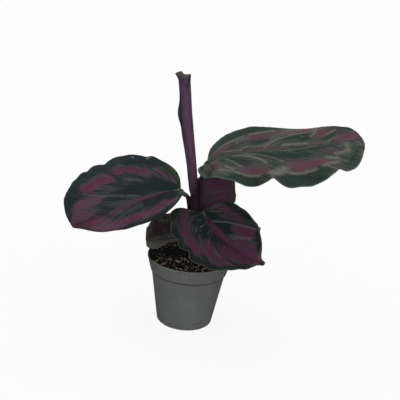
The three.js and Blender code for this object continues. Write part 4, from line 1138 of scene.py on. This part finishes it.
def makeSpearInside():
    skin = Skin("rolledLeafInside", spear["paint"], specular=0.3)
    grain = skin.use(fibreGrain, skin.mark("across"), skin.mark("vein"), 8.0)
    toTop = skin.mark("toTop") + (grain["Patch"] - 0.5) * 3.0
    dull = (skin.mark("aside") + toTop * -0.1).rise(0.3, -0.5)
    skin.ground(dull.larger(toTop.rise(1.5, 5.0)), "tan", "inner")
    skin.lay(grain["Fibre"].rise(0.45, 0.7) * 0.4, "edge")
    # the flap is painted olive green, its own colour, made paler as painted light against the shade it lies
    # in
    skin.lay(skin.mark("flap"), "flap")
    return skin.finish(skin.paints["gloss"], grain["Height"], 0.5, 0.14)


rolledPiece = addRolledLeaf().newObject("leaf_rolled_dressed", [makeSpearOutside(), makeSpearInside()])
handIn(rolledPiece, "leaf_rolled")


# The sheath of the right leaf's stalk, a thin tube with a slanted mouth round the rolled leaf

sheath = {
    "gap": 0.57, "wall": 0.62, "lowSide": (-4, 93.4), "highSide": (1.2, 108), "rows": 120, "columns": 96,
    # near the mouth it flares, less so inside, and its wall gets thinner
    "flare": 0.35, "flareFrom": 2.5, "innerFlare": 0.6, "thinFrom": 3,
    "rib": 0.05, "ribs": 26, "ribTwist": 0.15, "grainRadius": 3.6,
    "paint": {"low": "3a1620", "wine": "341b2a", "dark": "1a0d14", "lip": "5c4a44", "gloss": 0.4},
}


def addSheath():
    rows, columns = sheath["rows"], sheath["columns"]
    rounds, pull = 60, 0.2
    angle = ringAngles(columns)
    ring = np.stack([np.cos(angle), np.sin(angle), np.zeros(columns)], 1)
    (lowX, low), (highX, high) = sheath["lowSide"], sheath["highSide"]
    mouth = np.full(columns, float(low))
    for _ in range(rounds):
        centre, radius, _ = spearAt(mouth)
        reach = radius * (1 + spear["lap"] / 2) + sheath["gap"] + sheath["wall"]
        cut = low + (centre[:, 0] + reach * ring[:, 0] - lowX) / (highX - lowX) * (high - low)
        mouth += pull * (np.clip(cut, low, high) - mouth)
    height = mix(spear["axis"][0][2], mouth, (np.arange(rows) / (rows - 1))[:, None])
    centre, radius, _ = spearAt(height)
    toMouth = mouth - height
    flare = sheath["flare"] * bell(toMouth, sheath["flareFrom"])
    ribs = sheath["rib"] * np.sin(sheath["ribs"] * angle + sheath["ribTwist"] * height)
    reach = radius * (1 + spear["lap"] / 2) + sheath["gap"] + flare * sheath["innerFlare"]
    wall = sheath["wall"] * (0.5 + 0.5 * smoothStep(toMouth, 0, sheath["thinFrom"])) + ribs
    marks = {"vein": height, "across": sheath["grainRadius"] * np.minimum(angle, 2 * np.pi - angle),
             "toTop": toMouth}
    outer, inner = (centre + ring * out[..., None] for out in (reach + wall, reach))
    surface = Surface(marks)
    outside = surface.addSheet(outer, 0, (0.01, 0.01, 0.99, 0.55), marks, around=True, flip=True)
    inside = surface.addSheet(inner, 0, (0.01, 0.57, 0.99, 0.93), marks, around=True)
    surface.join(np.stack([outside[-1], inside[-1]], 1), 0, (0.01, 0.94, 0.99, 0.96))
    surface.join(np.stack([inside[0], outside[0]], 1), 0, (0.01, 0.97, 0.99, 0.99))
    return surface


def makeSheath():
    skin = Skin("sheathSkin", sheath["paint"], specular=0.2)
    grain = skin.use(fibreGrain, skin.mark("vein"), skin.mark("across"), 12.0)
    skin.ground(1.0 - skin.mark("vein").rise(60.0, 80.0), "wine", "low")
    skin.lay(grain["Fibre"].rise(0.45, 0.7) * 0.7, "dark")
    skin.lay((1.0 - skin.mark("toTop").rise(0.1, 0.9)) * 0.8, "lip")
    return skin.finish(skin.paints["gloss"] + grain["Patch"] * 0.2, grain["Height"], 0.5, 0.15)


handIn(addSheath().newObject("stalk_sheath", [makeSheath()]), "leaf_right")


# The nursery pot, thin matt plastic

pot = {
    "height": 50, "rimRadius": 30.2, "collarFoot": 39.3, "collarFootRadius": 27.6, "bodyTopRadius": 26.7,
    "baseRadius": 20.2, "wall": 1.0, "floor": 1.2, "sides": 240, "rowHeight": 2.6, "middle": 3,
    "drainHoles": 6, "drainRadius": 2, "drainCircle": 12.5, "drillDepth": 8, "drillSides": 40,
    # painted shade lies in the corner under the collar at this height
    "seamHeight": 39.35,
    # a long rub low on the front: its middle in x, its height, its slope and half its length
    "rub": (10.2, 5.6, 0.16, 4.2),
    "paint": {
        "grey": "7d807e", "pale": "868988", "dark": "717473", "seam": "474649", "scuff": "3a3b3a",
        "dust": "96938a", "lip": "8b877b", "collar": "8b8e8c", "gloss": 0.6,
    },
}


def filleted(corners, steps=5):
    # a profile with each corner rounded by its own radius
    points = []
    for k, (x, y, radius) in enumerate(corners):
        here = np.array([x, y], float)
        if radius == 0:
            points.append(here)
            continue
        before, after = (here + unit(np.array(corners[k + d][:2], float) - here) * radius for d in (-1, 1))
        for share in np.linspace(0, 1, steps):
            points.append(mix(mix(before, here, share), mix(here, after, share), share))
    return np.array(points)


def densified(profile, step):
    rows = [profile[0]]
    for a, b in zip(profile[:-1], profile[1:]):
        count = max(1, math.ceil(np.linalg.norm(b - a) / step))
        rows.extend(mix(a, b, (i + 1) / count) for i in range(count))
    return np.array(rows)


def lathe(profile, sides):
    # rings of points from a profile of radius and height
    angle = ringAngles(sides)
    radius, height = np.array(profile, float).T[..., None]
    return np.stack([radius * np.cos(angle), radius * np.sin(angle), height + 0 * angle], -1)


def addPot():
    wall, top, rim = pot["wall"], pot["height"], pot["rimRadius"]
    foot, footRadius, body = pot["collarFoot"], pot["collarFootRadius"], pot["bodyTopRadius"]
    ledge = foot + wall
    corners = [
        # radius, height and rounding, from the middle of the underside up the outside and down the inside
        (pot["middle"], 0, 0), (pot["baseRadius"], 0, 0.8), (body, foot, 0.3),
        (footRadius, foot + 0.25, 0.35), (rim - 0.1, top - 1.2, 0.3), (rim, top - 0.9, 0.15),
        (rim, top, 0.35), (rim - wall, top, 0.3),
        (footRadius - wall, ledge + 0.3, 0.3), (body - wall, ledge - 0.3, 0.3),
        (pot["baseRadius"] - wall, pot["floor"], 0.6), (pot["middle"], pot["floor"], 0),
    ]
    points = lathe(densified(filleted(corners), pot["rowHeight"]), pot["sides"])
    surface = Surface()
    index = surface.addSheet(points, 0, (0.01, 0.01, 0.99, 0.97), {}, around=True, flip=True)
    surface.addFan((0, 0, 0), index[0], 0, (0.01, 0.975, 0.45, 0.99), {}, flip=True)
    surface.addFan((0, 0, pot["floor"]), index[-1], 0, (0.5, 0.975, 0.95, 0.99), {})
    return surface


def drillPot(piece):
    # the drain holes in the floor
    cutter = bmesh.new()
    layer = cutter.loops.layers.uv.new(uvName)
    radius = pot["drainRadius"] * millimetre
    for i in range(pot["drainHoles"]):
        angle = 2 * math.pi * (i + 0.5) / pot["drainHoles"]
        circle = pot["drainCircle"]
        place = Vector((circle * math.cos(angle), circle * math.sin(angle), pot["floor"] / 2)) * millimetre
        drilled = bmesh.ops.create_cone(cutter, cap_ends=True, segments=pot["drillSides"], radius1=radius,
                                        radius2=radius, depth=pot["drillDepth"] * millimetre,
                                        matrix=Matrix.Translation(place))
        for vertex in drilled["verts"]:
            turn = math.atan2(vertex.co.y - place.y, vertex.co.x - place.x) / (2 * math.pi) + 0.5
            rise = vertex.co.z / (pot["floor"] * millimetre)
            for corner in vertex.link_loops:
                corner[layer].uv = (mix(0.955, 0.985, turn), mix(0.975, 0.99, rise))
    mesh = bpy.data.meshes.new("drainCutter")
    cutter.to_mesh(mesh)
    cutter.free()
    drill = bpy.data.objects.new("drainCutter", mesh)
    view.collection.objects.link(drill)
    holes = piece.modifiers.new("drain holes", "BOOLEAN")
    holes.operation, holes.solver, holes.object = "DIFFERENCE", "EXACT", drill
    finished = bpy.data.meshes.new_from_object(piece.evaluated_get(bpy.context.evaluated_depsgraph_get()))
    piece.modifiers.remove(holes)
    piece.data = finished
    bpy.data.objects.remove(drill)


def makePotPlastic():
    # heights and distances in this material are in metres
    skin = Skin("potPlastic", pot["paint"], specular=0.35)
    place = skin.place()
    x, y, height = (addNode(skin.tree, "ShaderNodeSeparateXYZ", {0: place}, k) for k in range(3))
    blotch = noise(place, 70.0, 4.0, 0.6)
    speck = noise(place, 1900.0, 2.0, 0.5)
    fleck = noise(place, 900.0, 2.0, 0.5)
    # faint flow marks run down the wall from the moulding
    flow = noise(position(x, y, height * 0.12), 420.0, 2.0, 0.5)
    skin.ground(blotch.rise(0.35, 0.7), "grey", "pale")
    skin.lay(flow.rise(0.5, 0.75) * 0.25, "dark")
    skin.lay(speck.rise(0.6, 0.75) * 0.35, "dust")
    # the collar is painted paler: painted light that evens out the shade it gets from facing downwards
    skin.lay(height.rise(0.0385, 0.0405) * 0.35, "collar")
    # painted shade in the corner under the collar, and pale wear along the lip
    fromSeam = abs(height - pot["seamHeight"] * millimetre) + (blotch - 0.5) * 0.001
    skin.lay((1.0 - fromSeam.rise(0.0002, 0.0012)) * 0.8, "seam")
    skin.lay((height + (speck - 0.5) * 0.002).rise(0.0491, 0.0499) * 0.7, "lip")
    # marks left by soil round the collar, and scuffs near the foot
    collar = height.rise(0.0435, 0.0465) * blotch.rise(0.42, 0.56)
    skin.lay(fleck.rise(0.58, 0.64) * collar * 0.8, "scuff")
    skin.lay(fleck.rise(0.43, 0.37) * collar * 0.8, "dust")
    scratch = noise(position(x, y, height * 4.0), 260.0, 2.0, 0.5)
    skin.lay(scratch.rise(0.66, 0.7) * (1.0 - height.rise(0.002, 0.007)) * 0.6, "scuff")
    rubX, rubHeight, slope, rubHalf = pot["rub"]
    along = x - rubX * millimetre
    off = height - rubHeight * millimetre + along * -slope + (fleck - 0.5) * 0.0012
    rub = abs(off).rise(0.0007, 0.0002) * abs(along).rise(rubHalf * millimetre, 0.6 * rubHalf * millimetre)
    skin.lay(rub * y.rise(0.0, -0.002) * 0.45, "scuff")
    return skin.finish(skin.paints["gloss"] + blotch * 0.15, speck * 0.6 + flow * 0.4, 0.35, 0.08)


potPiece = addPot().newObject("pot_dressed", [makePotPlastic()])
drillPot(potPiece)
handIn(potPiece, "pot")


# The soil: a plug heaped round the stalks, with crumbs, bark chips and fibres lying on it

soil = {
    "gap": 0.35, "level": 49.3, "rings": 120, "sides": 260,
    # below the surface it follows the inside of the pot: first its collar, and then its shoulder and floor
    "collarHeights": (44, 40.8), "shoulder": 39.6, "floorGap": 0.35, "wallGap": 0.5, "middle": 4,
    # each mound has its height, its middle and its spread
    "mounds": [(1.9, (3, 1.2), 13), (1.7, (-25, -5), 10)],
    # the pale fibres gather round the fibrous place; round the other, under the small leaf, crumbs and fibres
    # get painted shade
    "fibrous": ((-8, -20), 260), "leafShade": ((-12, 3), 70),
    "roughness": 0.6, "ripples": [(0.9, 1.3, 0), (1.7, -0.8, 2), (0.5, 2.1, 4)],
    "fine": 0.45, "grains": [(1.1, 21, 0.6), (0.45, 22, 0.4)], "seed": 11, "offStalks": 2.2, "tint": 0.2,
    "paint": {"black": "080708", "brown": "1b1512", "tan": "8a7c62", "ochre": "c4b697", "wine": "1e161e",
              "olive": "3c3e30"},
}
crumb = {"count": 1600, "size": (0.3, 1.5), "edge": 0.5, "least": 0.65, "stretch": 0.5, "lumps": 0.22,
         "flatness": 0.75, "lift": 0.15}
# some are spilled over the rim where the soil is banked up, round an angle seen from above
spill = {"count": 90, "angle": 188, "spread": 0.55, "inset": 1.2, "depth": 3.2, "extra": 0.45, "lift": 0.3}
splinter = {"edge": 1.6, "clear": 0.7, "taper": 0.75, "lift": 0.35, "stack": 0.25, "tilt": 0.25}
chips = {"count": 380, "length": (1.3, 4.4), "width": (0.45, 1.3), "squash": 0.45, "tints": (0.3, 1.0),
         "bend": 0.5, "sides": 8, "steps": 9}
fibres = {"count": 190, "length": (3, 9), "width": (0.18, 0.35), "squash": 1.0, "tints": (0.6, 1.0),
          "bend": 2.4, "sides": 6, "steps": 12}
stalkFeet = [path[0][:2] for path in (*(leaf["stalk"] for leaf in leaves.values()), spear["axis"])]
random = np.random.default_rng(soil["seed"])


def soilHeight(x, y):
    rough = sum(np.sin(a * x + b * y + c) for a, b, c in soil["ripples"])
    height = soil["level"]
    for rise, (middleX, middleY), spread in soil["mounds"]:
        height = height + rise * bell(np.hypot(x - middleX, y - middleY), spread)
    fine = sum(softNoise(x / size, y / size, seed) * share for size, seed, share in soil["grains"])
    return height + soil["roughness"] * rough / len(soil["ripples"]) + soil["fine"] * fine


def soilReach(height):
    # the inside of the pot at a height
    share = (height - pot["collarFoot"]) / (pot["height"] - pot["collarFoot"])
    return mix(pot["collarFootRadius"], pot["rimRadius"], share) - pot["wall"] - soil["gap"]


def addSoil():
    angle, floor = ringAngles(soil["sides"]), pot["floor"] + soil["floorGap"]
    share = ((np.arange(soil["rings"]) + 1) / soil["rings"]) ** 0.75
    radius = share[:, None] * soilReach(soil["level"])
    x, y = radius * np.cos(angle), radius * np.sin(angle)
    inset = pot["wall"] + soil["wallGap"]
    wall = [*((soilReach(height), height) for height in soil["collarHeights"]),
            (pot["bodyTopRadius"] - inset, soil["shoulder"]), (pot["baseRadius"] - inset, floor),
            (soil["middle"], floor)]
    surface = Surface(["tint"])
    points = np.concatenate([np.stack([x, y, soilHeight(x, y)], -1), lathe(wall, soil["sides"])])
    tint = {"tint": soil["tint"]}
    index = surface.addSheet(points, 0, (0.01, 0.01, 0.99, 0.97), tint, around=True)
    surface.addFan((0, 0, float(soilHeight(0.0, 0.0))), index[0], 0, (0.01, 0.975, 0.45, 0.99), tint)
    surface.addFan((0, 0, floor), index[-1], 0, (0.5, 0.975, 0.95, 0.99), tint, flip=True)
    return surface


def scattered(count, edge):
    # places on the soil, kept off the feet of the stalks
    places = []
    reach = soilReach(soil["level"]) - edge
    while len(places) < count:
        angle, radius = 2 * math.pi * random.random(), reach * math.sqrt(random.random())
        x, y = radius * math.cos(angle), radius * math.sin(angle)
        if all(math.hypot(x - footX, y - footY) > soil["offStalks"] + edge for footX, footY in stalkFeet):
            places.append((x, y))
    return np.array(places)


def nearness(key, x, y):
    # most of the pale fibres lie round the fibrous place, and round the shaded one, under the small leaf,
    # crumbs and fibres are painted nearly black: painted shade
    (middleX, middleY), spread = soil[key]
    return math.exp(-((x - middleX) ** 2 + (y - middleY) ** 2) / spread)


def addCrumbs():
    surface = Surface(["tint"])
    ball = bmesh.new()
    bmesh.ops.create_icosphere(ball, subdivisions=2, radius=1)
    shape = np.array([v.co for v in ball.verts])
    faces = np.array([[v.index for v in f.verts] for f in ball.faces])
    ball.free()
    cells = math.ceil(math.sqrt(crumb["count"] + spill["count"]))
    places = scattered(crumb["count"], crumb["edge"])
    angle = math.radians(spill["angle"]) + spill["spread"] * random.standard_normal(spill["count"])
    radius = pot["rimRadius"] - spill["inset"] - spill["depth"] * random.random(spill["count"]) ** 1.5
    places = np.concatenate([places, np.stack([radius * np.cos(angle), radius * np.sin(angle)], 1)])
    for i, (x, y) in enumerate(places):
        isSpilled = i >= crumb["count"]
        size = mix(*crumb["size"], random.random() ** 3) + (spill["extra"] if isSpilled else 0)
        stretch = size * (crumb["least"] + crumb["stretch"] * random.random(3))
        waves = np.sin(shape @ (random.random((3, 3)) * 7 - 3.5) + 6 * random.random(3)).sum(1)
        body = shape * (1 + crumb["lumps"] * waves)[:, None] * stretch * [1, 1, crumb["flatness"]]
        turn = 2 * math.pi * random.random()
        cos, sin = math.cos(turn), math.sin(turn)
        body = body @ np.array([[cos, sin, 0], [-sin, cos, 0], [0, 0, 1]])
        ground = max(float(soilHeight(x, y)), pot["height"] + spill["lift"] if isSpilled else 0)
        tint = random.random() * 0.5 + 0.45 * (random.random() < 0.1 + 0.35 * nearness("fibrous", x, y))
        # painted shade: crumbs under the small leaf are darkened
        tint = tint * (1 - 0.8 * nearness("leafShade", x, y))
        first = surface.addPoints(body + [x, y, ground + crumb["lift"] * size], {"tint": tint})
        cell = np.array([i % cells, i // cells])
        surface.addFaces(faces + first, 0, 0.01 + 0.98 * (cell + 0.48 * (shape[faces][:, :, :2] + 1)) / cells)
    return surface


def addSplinters(surface, kind):
    # bark chips and fibres: thin bent rods that taper to both ends and lie on the soil
    steps = kind["steps"]
    limit = soilReach(soil["level"]) - splinter["clear"]
    for i, (x, y) in enumerate(scattered(kind["count"], splinter["edge"])):
        length = mix(*kind["length"], random.random() ** 1.5)
        width = mix(*kind["width"], random.random())
        heading = 2 * math.pi * random.random()
        along = np.linspace(-0.5, 0.5, steps)
        turn = heading + kind["bend"] * (random.random() - 0.5) * along
        path = np.stack([x + np.cumsum(np.cos(turn)) * length / steps,
                         y + np.cumsum(np.sin(turn)) * length / steps], 1)
        path = path - path.mean(0) + [x, y]
        path = path * np.minimum(1, limit / np.maximum(np.hypot(*path.T), 1e-6))[:, None]
        lift = soilHeight(*path.T)
        lift = mix(lift, lift.mean(), 0.5) + splinter["lift"] * width + splinter["stack"] * random.random()
        tilt = (random.random() - 0.5) * splinter["tilt"] * length
        path = np.column_stack([path, lift + tilt * along + 0.25 * abs(tilt)])
        radii = width / 2 * (1 - splinter["taper"] * np.abs(2 * along) ** 3)
        radii = radii * (0.85 + 0.3 * random.random(steps))
        rings = tubeRings(path, radii, kind["sides"], squash=kind["squash"])
        # painted shade: chips and fibres under the small leaf are darkened
        tint = {"tint": mix(*kind["tints"], random.random()) * (1 - 0.75 * nearness("leafShade", x, y))}
        u, v = 0.01 + 0.98 * (i % 20) / 20, 0.01 + 0.98 * (i // 20) / 20
        index = surface.addSheet(rings, 0, (u, v, u + 0.045, v + 0.03), tint, around=True, flip=True)
        surface.addFan(path[0], index[0], 0, (u, v + 0.032, u + 0.02, v + 0.04), tint, flip=True)
        surface.addFan(path[-1], index[-1], 0, (u + 0.022, v + 0.032, u + 0.042, v + 0.04), tint)


def makeSoil(name, roughness):
    skin = Skin(name, soil["paint"], specular=0.15)
    place, tint = skin.place(), skin.mark("tint")
    coarse = noise(place, 420.0, 4.0, 0.65)
    fine = noise(place, 1600.0, 3.0, 0.65)
    skin.ground(coarse.rise(0.4, 0.65), "black", "brown")
    skin.lay(fine.rise(0.58, 0.72) * 0.6, "olive")
    skin.lay(tint.rise(0.25, 0.45), coarse.blend(skin.paints["wine"], skin.paints["brown"]))
    skin.lay(tint.rise(0.5, 0.75), "tan")
    skin.lay(tint.rise(0.8, 0.98), "ochre")
    skin.lay(fine.rise(0.45, 0.7) * 0.35, "black")
    return skin.finish(roughness + fine * 0.2, coarse + fine, 0.7, 0.3)


handIn(addSoil().newObject("soil_dressed", [makeSoil("pottingSoil", 0.75)]), "soil")
handIn(addCrumbs().newObject("soil_crumbs", [makeSoil("soilCrumbs", 0.7)]), "soil")
litterSurface = Surface(["tint"])
for kind in (chips, fibres):
    addSplinters(litterSurface, kind)
handIn(litterSurface.newObject("soil_litter", [makeSoil("barkAndFibre", 0.65)]), "soil")


# The crown keeps its solid and gets a fibrous skin

crownPaint = {"low": "3b2f24", "high": "6a5740", "ring": "2a2019", "gloss": 0.8}


def makeCrown():
    skin = Skin("rootstockSkin", crownPaint)
    place = skin.place()
    waves = {"Vector": place, "Scale": 180.0, "Distortion": 3.0, "Detail": 2.0}
    rings = addNode(skin.tree, "ShaderNodeTexWave", waves, "Fac", bands_direction="Z")
    grain = noise(place, 900.0, 4.0, 0.65)
    skin.ground(grain, "low", "high")
    skin.lay(rings.rise(0.6, 0.95) * 0.7, "ring")
    return skin.finish(skin.paints["gloss"], rings * 0.5 + grain, 0.6, 0.4)


crownSkin = makeCrown()
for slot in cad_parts["crown"].material_slots:
    slot.material = crownSkin
print("crown skinned")
